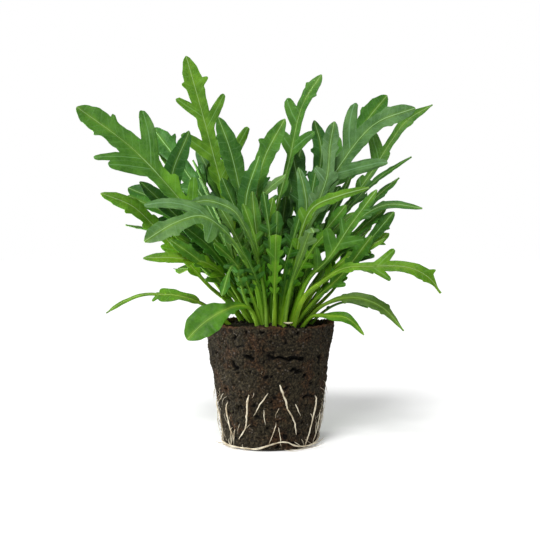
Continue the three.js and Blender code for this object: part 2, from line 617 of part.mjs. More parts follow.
// Six points round the leaf at one station: left, rib and right on the upper face, and the same below
function leafRing(shape, share, grow = 0) {
  const blade = smooth((share - shape.start) / 0.1);
  const ribHalf = (shape.stout ?? 1) * mix(stalkHalfDepth, ribTipHalfDepth, Math.sqrt(share)) + grow;
  const edgeHalf = mix(0.55 * ribHalf, bladeHalfThickness, blade);
  const [leftAlong, leftOut] = edgeAt(shape, share, -1);
  const [rightAlong, rightOut] = edgeAt(shape, share, 1);
  const along = share * shape.length;
  return [
    onLeaf(shape, leftAlong, leftOut - grow, edgeHalf),
    onLeaf(shape, along, 0, ribHalf),
    onLeaf(shape, rightAlong, rightOut + grow, edgeHalf),
    onLeaf(shape, rightAlong, rightOut + grow, -edgeHalf),
    onLeaf(shape, along, 0, -ribHalf),
    onLeaf(shape, leftAlong, leftOut - grow, -edgeHalf),
  ];
}

// The shares of the length where the stalk has a station, and all those where the outline turns
const stalkStations = [0, 0.1, 0.2];

function stationsOf(shape) {
  const stations = [...stalkStations, shape.start];
  for (const [place, half, left, right] of shape.lobes) {
    const large = Math.max(left, right) > 2.1;
    const turns = large ? [-1, -0.8, -0.3, 0.3, 0.8, 1] : [-1, 0, 1];
    stations.push(...turns.map((t) => place + t * half));
  }
  const endTurns = [0.14, 0.4, 0.66, 0.84, 0.95, 1];
  stations.push(...endTurns.map((t) => mix(shape.endLobe, 1, t)));
  stations.sort((a, b) => a - b);
  return stations.filter((s, i) => i === 0 || s - stations[i - 1] > 0.008);
}

// Quads (0,1) and (3,4) are cut from the edge to the next rib point, as quads (1,2) and (4,5) are
const cutFromFirst = (j) => j === 0 || j === 3;

function leafGeometry(shape) {
  return loft(stationsOf(shape).map((share) => leafRing(shape, share)), cutFromFirst);
}

// The plain hole that the stalk stands in, from under its foot to well above the soil
function stalkHole(shape) {
  const rings = [...stalkStations, shape.start].map((share) => leafRing(shape, share, stalkHoleGap));
  const deeper = rings[0].map((p, i) => p.clone().lerp(rings[1][i], -0.06));
  return solidOf(loft([deeper, ...rings.slice(1)], cutFromFirst));
}

// The roots. Each lies on the wall from its first point to its last, given as degrees round the pot from the
// front, with the left negative, and the height above the base.
const roots = [
  {
    name: "root_front_left", radius: 0.55,
    runs: [[[-21, 26], [-23, 21], [-24.5, 16], [-26.5, 10.5], [-38, 4.6]], [[-19, 12.8], [-26, 10.2]]],
  },
  { name: "root_front_upper", radius: 0.45, runs: [[[-1, 26.6], [-9, 21.7], [-17, 15.8]]] },
  { name: "root_front_short", radius: 0.42, runs: [[[-6.5, 19], [-5.4, 12]]] },
  {
    name: "root_front_long", radius: 0.62,
    runs: [[[8.6, 30.5], [14, 25], [18.7, 18.8], [27, 12.5], [31.5, 6.8]]],
  },
  { name: "root_front_right_short", radius: 0.42, runs: [[[26, 22.2], [29.5, 18.6], [34.8, 15.2]]] },
  { name: "root_front_slant", radius: 0.42, runs: [[[10.8, 20.3], [7, 17.6], [5.3, 15.3]]] },
  { name: "root_back_long", radius: 0.55, runs: [[[176, 30], [182, 22], [180, 14], [186, 7]]] },
  { name: "root_back_side", radius: 0.45, runs: [[[128, 26], [133, 18], [130, 10]]] },
];

// The mat: one root that circles the foot of the pot, and those that run down the wall into it
const matRadius = 0.55;
const matCircle = [
  [-75, 1.3], [-52, 1], [-30, 1], [-14, 1.1], [0, 3.1], [12, 4.2], [20, 3.8], [31, 1.9], [46, 1.1], [63, 1.2],
  [85, 2.8], [104, 3.6], [122, 1.5], [145, 2], [163, 4.2], [180, 3], [200, 1.1], [222, 3], [241, 4.2], [263, 2.2],
];
const matRunners = [
  [[-51.9, 21.1], [-52, 16], [-50.4, 10], [-52, 1]],
  [[-42, 9.5], [-46, 1.1]],
  [[54.3, 24.1], [56, 18.5], [53.6, 12.9], [46, 1.1]],
  [[50, 16.6], [54, 12.4]],
  [[67, 16], [66, 9], [62, 1.2]],
  [[7.3, 13.2], [4, 9], [1, 3.2]],
  [[8.7, 11.4], [11, 7], [11.5, 4.2]],
  [[-80, 21], [-76, 12], [-74, 1.3]],
  [[102, 22], [97, 12], [92, 3.2]],
  [[206, 24], [199, 13], [200, 1.1]],
];

function onWall(degrees, z, lift) {
  const turn = ((degrees - 90) * Math.PI) / 180;
  const radius = outsideRadius(turn, z) + rootGap + lift;
  return new THREE.Vector3(radius * Math.cos(turn), radius * Math.sin(turn), z);
}

// A root with five sides that keeps to the wall, tapering unless it closes on itself
function rootSolid(points, radius, closed = false) {
  const sides = 5;
  const unrolled = points.map(([degrees, z]) => new THREE.Vector3(0.4 * degrees, z, 0));
  if (closed) unrolled.push(unrolled[0].clone().setX(unrolled[0].x + 144));
  const curve = new THREE.CatmullRomCurve3(unrolled, false, "centripetal");
  const steps = Math.max(3, Math.round(curve.getLength() / 3.6));
  const pathPoint = (share) => {
    const p = curve.getPointAt(Math.min(1, Math.max(0, share)));
    return onWall(p.x / 0.4, p.y, closed ? radius + 0.2 : radius);
  };
  const rings = [];
  for (let i = 0; i < steps + (closed ? 0 : 1); i++) {
    const share = i / steps;
    const point = pathPoint(share);
    const tangent = pathPoint(share + 0.01).sub(pathPoint(share - 0.01));
    const out = new THREE.Vector3(point.x, point.y, 0).normalize();
    const beside = new THREE.Vector3().crossVectors(tangent, out).normalize();
    const thick = closed ? radius : radius * mix(1, 0.6, share);
    const spoke = (k) => {
      const turn = (2 * Math.PI * k) / sides;
      const spread = point.clone().addScaledVector(out, thick * Math.cos(turn));
      return spread.addScaledVector(beside, thick * Math.sin(turn));
    };
    rings.push(Array.from({ length: sides }, (_, k) => spoke(k)));
  }
  return solidOf(closed ? closedTube(rings) : loft(rings));
}

function closedTube(rings) {
  const sides = rings[0].length;
  const positions = rings.flat().flatMap((p) => [p.x, p.y, p.z]);
  const triangles = [];
  rings.forEach((_, i) => {
    const next = (i + 1) % rings.length;
    for (let j = 0; j < sides; j++) {
      const k = (j + 1) % sides;
      triangles.push(i * sides + j, i * sides + k, next * sides + j);
      triangles.push(i * sides + k, next * sides + k, next * sides + j);
    }
  });
  return outward(positions, triangles);
}

const joined = (solids) => solids.reduce((whole, solid) => whole.add(solid));
const rootGeometry = ({ runs, radius }) => geometryOf(joined(runs.map((run) => rootSolid(run, radius))));
const matGeometry = () => {
  const runners = matRunners.map((run) => rootSolid(run, matRadius));
  return geometryOf(joined([rootSolid(matCircle, matRadius, true), ...runners]));
};

// The finished group, with a material for each thing that it is made of
const finish = (color, roughness) => new THREE.MeshStandardMaterial({ color, roughness, metalness: 0 });
const peat = finish("#3a2f24", 0.95);
const soilFinish = finish("#231c15", 1);
const rootFinish = finish("#cfc6ab", 0.7);
const leafFinishes = {
  fresh: finish("#64952f", 0.5),
  mid: finish("#4d7f34", 0.5),
  dark: finish("#3a6a2e", 0.5),
  grey: finish("#5d8850", 0.55),
};

const plant = new THREE.Group();

function place(name, geometry, material) {
  const mesh = new THREE.Mesh(geometry, material);
  mesh.name = name;
  plant.add(mesh);
}

const shapes = leaves.map(leafShape);
place("peat_pot", potGeometry(), peat);
place("soil", geometryOf(soilSolid(shapes.map(stalkHole))), soilFinish);
shapes.forEach((shape) => place(shape.name, leafGeometry(shape), leafFinishes[shape.tone]));
roots.forEach((root) => place(root.name, rootGeometry(root), rootFinish));
place("root_mat", matGeometry(), rootFinish);

export default plant;
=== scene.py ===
# A clump of arugula in a small pot of pressed peat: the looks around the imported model.
# Metres, +Z up, the front towards -Y. Values that describe the plant are in millimetres and say so.
import math
import random
import bpy
import numpy as np
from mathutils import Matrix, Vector, noise


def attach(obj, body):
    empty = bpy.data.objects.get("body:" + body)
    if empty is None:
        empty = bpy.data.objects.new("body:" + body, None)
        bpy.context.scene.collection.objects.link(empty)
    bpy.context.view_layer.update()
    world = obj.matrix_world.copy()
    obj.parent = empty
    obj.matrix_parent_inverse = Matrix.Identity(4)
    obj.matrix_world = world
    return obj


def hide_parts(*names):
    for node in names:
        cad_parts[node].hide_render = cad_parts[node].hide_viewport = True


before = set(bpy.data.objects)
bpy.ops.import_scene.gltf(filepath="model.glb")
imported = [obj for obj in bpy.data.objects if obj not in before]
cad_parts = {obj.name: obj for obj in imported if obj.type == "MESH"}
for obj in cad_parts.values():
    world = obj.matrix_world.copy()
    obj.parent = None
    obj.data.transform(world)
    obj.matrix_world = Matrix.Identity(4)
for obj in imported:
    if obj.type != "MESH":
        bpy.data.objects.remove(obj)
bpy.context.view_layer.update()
mm = 0.001
print("frame loaded:", len(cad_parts), "nodes")


def clearSelection():
    bpy.ops.object.select_all(action="DESELECT")


def turnTo(place, aim):
    return (Vector(aim) - Vector(place)).to_track_quat("-Z", "Y").to_euler()


camera = {"place": (0, -0.450, 0.092), "target": (0, 0, 0.079), "lens": 65.5}

clearSelection()
bpy.ops.object.camera_add(location=camera["place"])
photoCamera = bpy.context.object
photoCamera.name = "photoCamera"
photoCamera.rotation_euler = turnTo(camera["place"], camera["target"])
photoCamera.data.lens = camera["lens"]
photoCamera.data.clip_start = 0.01
bpy.context.scene.camera = photoCamera
print("camera set")

studio = {
    "backdrop": 1.0, "airStrength": 0.36,
    "sun": {"turn": (44, 0, -16), "strength": 2.85, "spread": 22},  # degrees; a broad soft light from the upper left
    "lamps": [  # name, place, aim, size, watts: a broad fill, and a low one that grazes the left of the pot
        ("fillLamp", (0.6, -0.7, 0.25), (0, 0, 0.1), 0.7, 1.0),
        ("leftLamp", (-0.42, 0.0, 0.025), (0, 0, 0.03), 0.15, 3.4),
    ],
    "floorSize": 8, "floorDrop": 0.00015, "floorGlow": 0.12,
}


def addNode(tree, kind, values=None, **settings):
    made = tree.nodes.new(kind)
    for key, value in settings.items():
        setattr(made, key, value)
    for key, value in (values or {}).items():
        made.inputs[key].default_value = value
    return made


def newMaterial(name, roughness=0.5):
    material = bpy.data.materials.new(name)
    material.use_nodes = True
    tree = material.node_tree
    shader = tree.nodes["Principled BSDF"]
    shader.inputs["Roughness"].default_value = roughness
    return material, tree, shader


def joinTo(tree, source, target):
    tree.links.new(source, target)


def ramp(tree, source, stops):  # colours along a value, as (place, colour) pairs
    made = addNode(tree, "ShaderNodeValToRGB")
    while len(made.color_ramp.elements) < len(stops):
        made.color_ramp.elements.new(0.5)
    for element, (place, colour) in zip(made.color_ramp.elements, stops):
        element.position = place
        element.color = (*colour, 1)
    joinTo(tree, source, made.inputs["Fac"])
    return made.outputs["Color"]


def ranged(tree, source, low, high, out=(0, 1)):  # a smooth step from low to high
    ends = {"From Min": low, "From Max": high, "To Min": out[0], "To Max": out[1]}
    made = addNode(tree, "ShaderNodeMapRange", ends, interpolation_type="SMOOTHSTEP")
    joinTo(tree, source, made.inputs["Value"])
    return made.outputs["Result"]


def maths(tree, operation, first, second):
    made = addNode(tree, "ShaderNodeMath", operation=operation)
    for socket, value in zip(made.inputs, (first, second)):
        if isinstance(value, (int, float)):
            socket.default_value = value
        else:
            joinTo(tree, value, socket)
    return made.outputs["Value"]


def times(tree, first, second):
    return maths(tree, "MULTIPLY", first, second)


def mixed(tree, share, first, second, blend="MIX"):  # a colour mix; each input is a socket or a value
    made = addNode(tree, "ShaderNodeMix", data_type="RGBA", blend_type=blend)
    for socket, value in zip((made.inputs[0], made.inputs[6], made.inputs[7]), (share, first, second)):
        if isinstance(value, tuple):
            socket.default_value = (*value, 1)
        elif isinstance(value, (int, float)):
            socket.default_value = value
        else:
            joinTo(tree, value, socket)
    return made.outputs[2]


def tinted(tree, colour, factors):
    return mixed(tree, 1.0, colour, factors, "MULTIPLY")


def attributeOf(tree, name, output="Fac"):
    return addNode(tree, "ShaderNodeAttribute", attribute_name=name).outputs[output]


def objectPlaces(tree):
    return addNode(tree, "ShaderNodeTexCoord").outputs["Object"]


def partsOf(tree, source):  # x, y and z
    made = addNode(tree, "ShaderNodeSeparateXYZ")
    joinTo(tree, source, made.inputs[0])
    return made.outputs


def bumped(tree, shader, height, depth, strength):
    made = addNode(tree, "ShaderNodeBump", {"Strength": strength, "Distance": depth})
    joinTo(tree, height, made.inputs["Height"])
    joinTo(tree, made.outputs["Normal"], shader.inputs["Normal"])


def noiseOf(tree, coordinates, scale, detail=4, roughness=0.6):
    made = addNode(tree, "ShaderNodeTexNoise", {"Scale": scale, "Detail": detail, "Roughness": roughness})
    joinTo(tree, coordinates, made.inputs["Vector"])
    return made.outputs[0]


# The studio: a white backdrop, soft light and a plain pale floor
world = bpy.data.worlds.new("studioAir")
world.use_nodes = True
air = world.node_tree
lit = air.nodes["Background"]
lit.inputs["Color"].default_value = (1, 1, 1, 1)
lit.inputs["Strength"].default_value = studio["airStrength"]
backdrop = addNode(air, "ShaderNodeBackground", {"Color": (1, 1, 1, 1), "Strength": studio["backdrop"]})
seen = addNode(air, "ShaderNodeLightPath").outputs["Is Camera Ray"]
either = addNode(air, "ShaderNodeMixShader")
for source, socket in zip((seen, lit.outputs[0], backdrop.outputs[0]), either.inputs):
    joinTo(air, source, socket)
joinTo(air, either.outputs[0], air.nodes["World Output"].inputs["Surface"])
bpy.context.scene.world = world
bpy.context.scene.view_settings.view_transform = "Standard"

clearSelection()
sunLook = studio["sun"]
sunTurn = [math.radians(turn) for turn in sunLook["turn"]]
bpy.ops.object.light_add(type="SUN", location=(0, 0, 1), rotation=sunTurn)
softSun = bpy.context.object
softSun.name = "softSun"
softSun.data.energy = sunLook["strength"]
softSun.data.angle = math.radians(sunLook["spread"])

for name, place, aim, size, watts in studio["lamps"]:
    clearSelection()
    bpy.ops.object.light_add(type="AREA", location=place, rotation=turnTo(place, aim))
    lamp = bpy.context.object
    lamp.name = name
    lamp.data.size = size
    lamp.data.energy = watts

clearSelection()
bpy.ops.mesh.primitive_plane_add(size=studio["floorSize"], location=(0, 0, -studio["floorDrop"]))
floor = bpy.context.object
floor.name = "studioFloor"
floorPaper, floorTree, floorShader = newMaterial("floorPaper", 0.9)
floorShader.inputs["Base Color"].default_value = (0.97, 0.97, 0.97, 1)
floorShader.inputs["Specular IOR Level"].default_value = 0.1
floorShader.inputs["Emission Color"].default_value = (1, 1, 1, 1)
floorShader.inputs["Emission Strength"].default_value = studio["floorGlow"]
floor.data.materials.append(floorPaper)
print("studio set")


# Shared shapes

def smooth(x):
    t = np.clip(x, 0, 1)
    return t * t * (3 - 2 * t)


def blendOf(a, b, t):
    return a + (b - a) * t


def curveAt(points, share):  # centripetal Catmull-Rom through the points
    last = len(points) - 1
    i = min(int(share * last), last - 1)
    t = share * last - i
    p1, p2 = points[i], points[i + 1]
    p0 = points[i - 1] if i > 0 else 2 * points[0] - points[1]
    p3 = points[i + 2] if i + 2 <= last else 2 * points[last] - points[last - 1]
    d0, d1, d2 = (max(float(np.sum((b - a) ** 2)), 1e-9) ** 0.25 for a, b in ((p0, p1), (p1, p2), (p2, p3)))
    m1 = ((p1 - p0) / d0 - (p2 - p0) / (d0 + d1) + (p2 - p1) / d1) * d1
    m2 = ((p2 - p1) / d1 - (p3 - p1) / (d1 + d2) + (p3 - p2) / d2) * d1
    return p1 + m1 * t + (3 * (p2 - p1) - 2 * m1 - m2) * t * t + (2 * (p1 - p2) + m1 + m2) * t ** 3


def evenPath(points, steps):  # points at even distances along the curve, and its length
    points = [np.array(p, float) for p in points]
    shares = np.linspace(0, 1, 201)
    places = np.array([curveAt(points, s) for s in shares])
    gone = np.concatenate([[0], np.cumsum(np.linalg.norm(np.diff(places, axis=0), axis=1))])
    even = np.interp(np.linspace(0, gone[-1], steps + 1), gone, shares)
    return np.array([curveAt(points, s) for s in even]), gone[-1]


def setPlaces(piece, places):  # puts a mesh's vertices, given in millimetres
    piece.data.vertices.foreach_set("co", (np.asarray(places) * mm).astype(np.float32).ravel())
    piece.data.update()


def gridPiece(name, columns, rows):  # a grid primitive with the column and row of each of its vertices
    clearSelection()
    bpy.ops.mesh.primitive_grid_add(x_subdivisions=columns, y_subdivisions=rows, size=1)
    piece = bpy.context.object
    piece.name = name
    flat = np.empty(len(piece.data.vertices) * 3, np.float32)
    piece.data.vertices.foreach_get("co", flat)
    flat = flat.reshape(-1, 3)
    column = np.rint((flat[:, 0] + 0.5) * columns).astype(int)
    row = np.rint((flat[:, 1] + 0.5) * rows).astype(int)
    return piece, column, row


def setAttribute(piece, name, values):  # one number for each vertex
    made = piece.data.attributes.new(name, "FLOAT", "POINT")
    made.data.foreach_set("value", np.asarray(values, np.float32))


def wrappedPiece(name, table, **attributes):  # a closed body from rings of places, in millimetres
    rows, around = table.shape[:2]
    piece, column, row = gridPiece(name, around, rows - 1)
    setPlaces(piece, table[row, column % around])
    for key, values in attributes.items():
        setAttribute(piece, key, values[row, column % around])
    bpy.ops.object.mode_set(mode="EDIT")
    bpy.ops.mesh.select_all(action="SELECT")
    bpy.ops.mesh.remove_doubles(threshold=1e-7)
    bpy.ops.mesh.fill_holes(sides=0)
    bpy.ops.mesh.select_all(action="SELECT")
    bpy.ops.mesh.normals_make_consistent(inside=False)
    bpy.ops.object.mode_set(mode="OBJECT")
    bpy.ops.object.shade_smooth()
    return piece


def finishPiece(piece, materials, slot, *nodes):
    for material in materials:
        piece.data.materials.append(material)
    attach(piece, "root")
    if nodes:
        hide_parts(*nodes)


# Leaves. The forms give the blade's outline as shares of the leaf from foot to tip. A side lobe is (place, half
# length of its root, reach left, reach right), the reach in multiples of the end lobe's half width.
leafForms = {  # the last one is the lacy form of young leaves
    "cut": {"start": 0.34, "wing": 0.85, "endLobe": 0.72, "sweep": 0.74, "lobes": [(0.41, 0.028, 0.6, 0.5),
        (0.52, 0.03, 1.5, 1.3), (0.64, 0.036, 2.9, 2.7), (0.88, 0.018, 1.1, 1.2)]},
    "toothed": {"start": 0.3, "wing": 0.75, "endLobe": 0.64, "sweep": 0.68, "lobes": [(0.42, 0.028, 0.7, 0.6),
        (0.55, 0.034, 2.1, 1.8), (0.71, 0.025, 1.4, 1.3), (0.84, 0.018, 1.1, 1.2)]},
    "strap": {"start": 0.34, "wing": 0.5, "endLobe": 0.6, "sweep": 0.6, "lobes": [(0.5, 0.028, 1.3, 0.8),
        (0.7, 0.02, 1.1, 1.35)]},
    "spoon": {"start": 0.3, "wing": 0.4, "endLobe": 0.44, "sweep": 0.35, "lobes": []},
    "jagged": {"start": 0.3, "wing": 0.35, "endLobe": 0.8, "sweep": 0.5, "lobes": [(0.4, 0.022, 0.9, 0.6),
        (0.48, 0.024, 1.0, 1.5), (0.56, 0.026, 1.9, 1.3), (0.65, 0.028, 1.5, 2.3), (0.74, 0.026, 2.2, 1.8),
        (0.88, 0.016, 1.25, 1.1)]},
}

leafRows = [  # name, form, tone, half width, foot in the soil, the way that the right half points, points of the
    # midrib, and what is the leaf's own; all in millimetres
    ("left_longest", "cut", "mid", 6.6, (-3.9, -3.1), (1, 0.5, 0.5), (-19.8, -11.5, 86.1), (-37.2, -20, 107.7),
        (-59.1, -24.5, 131.7), (-82.9, -27, 149.6), {"wing": 1.25, "endLobe": 0.75, "lobes": [(0.5, 0.03, 0.5, 2.4),
        (0.585, 0.025, 0.9, 1.3), (0.69, 0.042, 3.15, 0), (0.7, 0.038, 0, 3.75), (0.735, 0.024, 3.4, 0),
        (0.845, 0.018, 0, 1.4), (0.865, 0.018, 1.1, 0)]}),
    ("top_left", "cut", "fresh", 5.4, (-1, 5), (1, 0.25, 0), (-15.1, 7, 90), (-22.2, 9, 116.2), (-31.4, 11, 150.8),
        (-39.2, 11, 178.5), {"wing": 1, "lobes": [(0.42, 0.03, 0.5, 0.5), (0.565, 0.032, 1.2, 5.3),
        (0.645, 0.034, 3.4, 1.3), (0.745, 0.028, 0, 3.4), (0.785, 0.026, 2.8, 0), (0.885, 0.018, 1.15, 1.5)]}),
    ("upper_left_dark", "spoon", "dark", 5.1, (-0.8, -2.3), (1, 0.4, 0.2), (-9.5, -3.4, 88), (-13.3, -4.2, 112.6),
        (-18.4, -5.1, 134.3), (-23.5, -6, 148.1), {"start": 0.4, "endLobe": 0.64, "lobes": [(0.5, 0.03, 0.4, 0.5),
        (0.84, 0.02, 0.9, 1.05)]}),
    ("left_behind", "cut", "dark", 6.2, (-4.8, 1.1), (0.9, -0.3, 0.4), (-20.1, 8.2, 90), (-31.4, 14.5, 112.3),
        (-39.8, 18.8, 125.2), (-56.1, 24, 146.5), {"wing": 0.95, "lobes": [(0.54, 0.036, 4, 1.4),
        (0.66, 0.04, 1.6, 2.2), (0.88, 0.02, 0.9, 1.25)]}),
    ("left_folded", "spoon", "dark", 4.8, (-1.6, 1.1), (1, 0.5, 0), (-17.9, -1.8, 84), (-35.7, -6.5, 102.9),
        (-44, -9.2, 118.7), (-36, -12, 141.2), {"start": 0.5, "endLobe": 0.66, "lobes": [(0.58, 0.03, 0.5, 0.5)]}),
    ("left_mid", "toothed", "fresh", 4.5, (-7.1, -2.8), (0.8, 0.6, 0.6), (-19.1, -3, 64.5), (-26.4, -3.5, 70.5),
        (-37.7, -4, 82.7), (-50.3, -4.5, 96.4), (-62.1, -4.5, 107.7), (-76.7, -4, 113.8),
        {"lobes": [(0.42, 0.028, 0.9, 1.3), (0.56, 0.036, 1.6, 2.6), (0.7, 0.028, 1.3, 1.2), (0.82, 0.02, 1.3, 1)]}),
    ("left_back_thin", "strap", "mid", 3.6, (-8, 1.1), (0.2, 1, 0.2), (-20.3, 3, 66.5), (-28.8, 6, 77),
        (-40.4, 12, 88.1), (-54.1, 20, 96.1), (-70.1, 28, 100.1), {}),
    ("left_back_small", "toothed", "fresh", 3.6, (-7.4, 5.2), (0.4, 0.8, 0.3), (-19.2, 10, 66.1), (-27.5, 16, 75.2),
        (-34.9, 20, 79.4), (-44.4, 24, 79), {}),
    ("left_level", "strap", "fresh", 3, (-4.8, -6.9), (-0.1, 0.5, 0.85), (-16.9, -11, 72.1), (-27.6, -15, 82.1),
        (-42.1, -18, 84.7), (-55.5, -20, 84.7), {"wing": 0.85, "lobes": [(0.5, 0.028, 2.6, 1.2),
        (0.6, 0.024, 1.1, 1.4), (0.7, 0.022, 1.5, 1.1), (0.84, 0.02, 0.9, 1.2)]}),
    ("left_low_long", "strap", "fresh", 1.25, (-10.5, -0.4), (0, 0.35, 0.9), (-29.9, 1.8, 62.6), (-41.2, 5, 66.6),
        (-50.3, 8, 67.3), (-59.9, 10, 67), (-69.5, 11.5, 63.2), (-77.1, 12, 58.4), {"wing": 0.9, "endLobe": 0.8,
        "taper": 1.3, "lobes": [(0.45, 0.08, 1.7, 2.2), (0.555, 0.075, 3.6, 3), (0.635, 0.018, 3.7, 1)]}),
    ("front_left_arching", "cut", "grey", 5, (-2.5, -11.1), (-0.2, 0.35, 0.9), (-5.9, -16.2, 72.1), (-13.4, -25.3, 88),
        (-21.5, -31.5, 98), (-29.3, -36.7, 102.6), (-39.1, -40.8, 99.9), (-51.7, -45, 92), {"wing": 0.75,
        "endLobe": 0.74, "sweep": (0.15, 0.84), "stout": 1.6, "lobes": [(0.46, 0.03, 0.7, 0.8), (0.56, 0.03, 1.1, 1),
        (0.665, 0.047, 2.4, 0), (0.695, 0.045, 0, 5), (0.86, 0.02, 1.1, 1.05)]}),
    ("front_left_spoon", "spoon", "mid", 7.2, (-4.2, -14.7), (-0.6, 0.35, 0.7), (-8.4, -17, 61.9), (-14.4, -20, 63.6),
        (-20.9, -22, 61.4), (-26.9, -24, 57.9), (-31.9, -26, 53.8), (-35.6, -28, 49.7), {"endLobe": 0.5,
        "lobes": [(0.5, 0.03, 0.5, 0.6)]}),
    ("centre_round", "spoon", "dark", 4.4, (-0.2, -6.5), (1, -0.4, 0), (-7, -9.5, 88), (-10.5, -13, 109.9),
        (-4.6, -15, 129.7), {"start": 0.4, "endLobe": 0.58, "lobes": [(0.52, 0.03, 0.4, 0.4)]}),
    ("centre_toothed", "toothed", "mid", 4.8, (2.1, -3.7), (1, 0, -0.2), (-4, -4, 88), (-6.3, -6, 112),
        (-2.7, -6.5, 129), (6.7, -6, 147.2), {"wing": 0.75, "endLobe": 0.62, "lobes": [(0.5, 0.03, 1, 1),
        (0.72, 0.022, 1.2, 0.9), (0.85, 0.02, 1.2, 0.8)]}),
    ("top_right", "cut", "mid", 3.8, (2.4, 1.1), (1, -0.3, -0.3), (0.5, 1.2, 85), (3, 2.4, 106.1), (8.6, 3.6, 127.3),
        (15.1, 4.8, 154.7), (23.8, 6, 169), {"wing": 0.9, "endLobe": 0.78, "lobes": [(0.55, 0.03, 0.9, 1),
        (0.7, 0.034, 2.4, 3.5), (0.8, 0.036, 3.1, 0), (0.9, 0.016, 0, 1.25), (0.93, 0.014, 1.1, 0)]}),
    ("centre_dark", "spoon", "grey", 4, (4.6, -1.8), (1, 0.2, 0), (9, -3, 86), (16.3, -4, 106), (15.3, -4, 116.5),
        (12.8, -4, 125.5), {}),
    ("front_small", "cut", "fresh", 3.7, (2, -16.4), (1, 0, 0), (2, -20, 68), (2.3, -26, 83), (2.5, -29, 95),
        {"endLobe": 0.86, "lobes": [(0.47, 0.025, 0.9, 0.8), (0.56, 0.03, 1.1, 1.15), (0.67, 0.03, 1.35, 1.2),
        (0.79, 0.035, 1.6, 1.35)]}),
    ("front_towards", "toothed", "grey", 3.6, (5.1, -15.5), (1, 0, 0.1), (9, -19, 72), (14, -27, 88), (17, -35, 97),
        (18, -45, 96), {"endLobe": 0.74, "lobes": [(0.6, 0.03, 0.6, 0.5), (0.72, 0.035, 1.3, 1.6)]}),
    ("front_right_lobed", "cut", "mid", 2.4, (6.4, -10), (0.8, -0.1, -0.6), (16.4, -15.5, 74.6), (25.3, -22, 84.4),
        (34.3, -29, 98.7), (44.9, -36, 113.7), {"wing": 1.4, "endLobe": 0.74, "stout": 1.3,
        "lobes": [(0.46, 0.034, 4.6, 0.9), (0.585, 0.055, 4.9, 0), (0.645, 0.045, 0, 5), (0.705, 0.026, 3.2, 0),
        (0.87, 0.02, 1.2, 1.6)]}),
    ("right_level", "cut", "fresh", 4.4, (8.6, -14.9), (0.1, -0.45, -0.9), (14.5, -18.8, 66.6), (22.6, -23.7, 74.5),
        (32.3, -27.5, 80.4), (43.6, -30.3, 81.2), (58.7, -32.2, 80.8), (66.6, -33.2, 77), (72.4, -34, 70.2),
        {"start": 0.3, "wing": 0.85, "endLobe": 0.7, "taper": 2, "stout": 1.35, "lobes": [(0.5, 0.03, 0.75, 0.88),
        (0.655, 0.034, 2.25, 0), (0.635, 0.03, 0, 2.4), (0.885, 0.018, 1.15, 0.8)]}),
    ("right_lowest", "spoon", "mid", 2.5, (9.8, -11.1), (0.3, -0.6, -0.7), (18.6, -14, 58.5), (26.8, -18, 59.1),
        (33.5, -22, 58.5), (40.6, -26, 51.7), {}),
    ("right_low_arching", "spoon", "grey", 3.2, (9.6, -6.9), (0.3, -0.5, -0.8), (22.9, -9, 62.7), (36, -13, 67.1),
        (48.6, -16, 63.3), (58.8, -19, 52.8), {"taper": 0.95, "lobes": [(0.5, 0.02, 0.6, 0.9),
        (0.8, 0.02, 0.95, 1.05)]}),
    ("right_low_thin", "strap", "dark", 2.6, (11.6, -2.9), (0, -1, 0), (25.2, 1, 60.2), (35.2, 5, 64), (45.8, 9, 61.2),
        {}),
    ("right_arching", "toothed", "dark", 2.3, (8.5, -2.3), (0, -0.5, -0.85), (15.9, -4, 64.1), (25.7, -7, 81.5),
        (36.7, -10, 99), (51.3, -12, 108.1), (67.5, -14, 106.7), {"lobes": [(0.42, 0.028, 1.1, 1.1),
        (0.55, 0.036, 3, 2.6), (0.71, 0.025, 2.2, 1.7), (0.8, 0.018, 1.2, 1.1)]}),
    ("right_edgewise", "strap", "dark", 3.4, (7.1, 1.1), (0.3, -0.9, -0.2), (19.1, 5.8, 84), (34.4, 10, 104.1),
        (48.9, 12.8, 119.5), (66.6, 14, 131.9), {"lobes": [(0.5, 0.03, 1.3, 0.8), (0.68, 0.03, 1.4, 2.6)]}),
    ("right_far", "toothed", "mid", 3, (6.9, 6.6), (0.8, 0, -0.6), (18.1, 11.6, 81.9), (30.5, 18.2, 100.1),
        (49.1, 23.8, 125.8), (58.8, 27, 140.8), (66.3, 28.5, 150.6), (79, 30, 158.5), {"wing": 0.9, "endLobe": 0.74,
        "taper": 0.95, "lobes": [(0.5, 0.03, 0.8, 1), (0.6, 0.03, 1.6, 1.8), (0.715, 0.036, 4.6, 1.5),
        (0.88, 0.02, 1.15, 1.2)]}),
    ("upper_right", "cut", "grey", 5, (6.2, -4.6), (0.8, -0.4, -0.6), (13.9, -9.2, 90), (21.1, -14.4, 110.3),
        (29, -18.6, 122.8), (45, -22.8, 142.5), (62.3, -27, 149.2), {"wing": 1.15, "endLobe": 0.76,
        "lobes": [(0.42, 0.03, 0.6, 0.6), (0.52, 0.035, 1.1, 1.5), (0.635, 0.036, 1.2, 5.1), (0.73, 0.037, 3.85, 1),
        (0.88, 0.02, 1.2, 1)]}),
    ("upper_right_front", "toothed", "grey", 4.2, (3.9, -6.9), (1, -0.4, -0.2), (11, -13.4, 86), (19.9, -17.8, 105.9),
        (25.1, -20.2, 120.7), (26.2, -21.6, 133.5), (28, -22, 144.1), {"wing": 0.9, "endLobe": 0.76,
        "lobes": [(0.5, 0.03, 1.3, 1.1), (0.62, 0.035, 1.6, 1.7), (0.74, 0.03, 2, 1.5), (0.86, 0.02, 1.1, 1.2)]}),
    ("upper_right_behind", "cut", "mid", 6, (5.2, 4), (0.8, 0.2, -0.5), (16.1, 7.2, 92), (32.5, 11.5, 126.5),
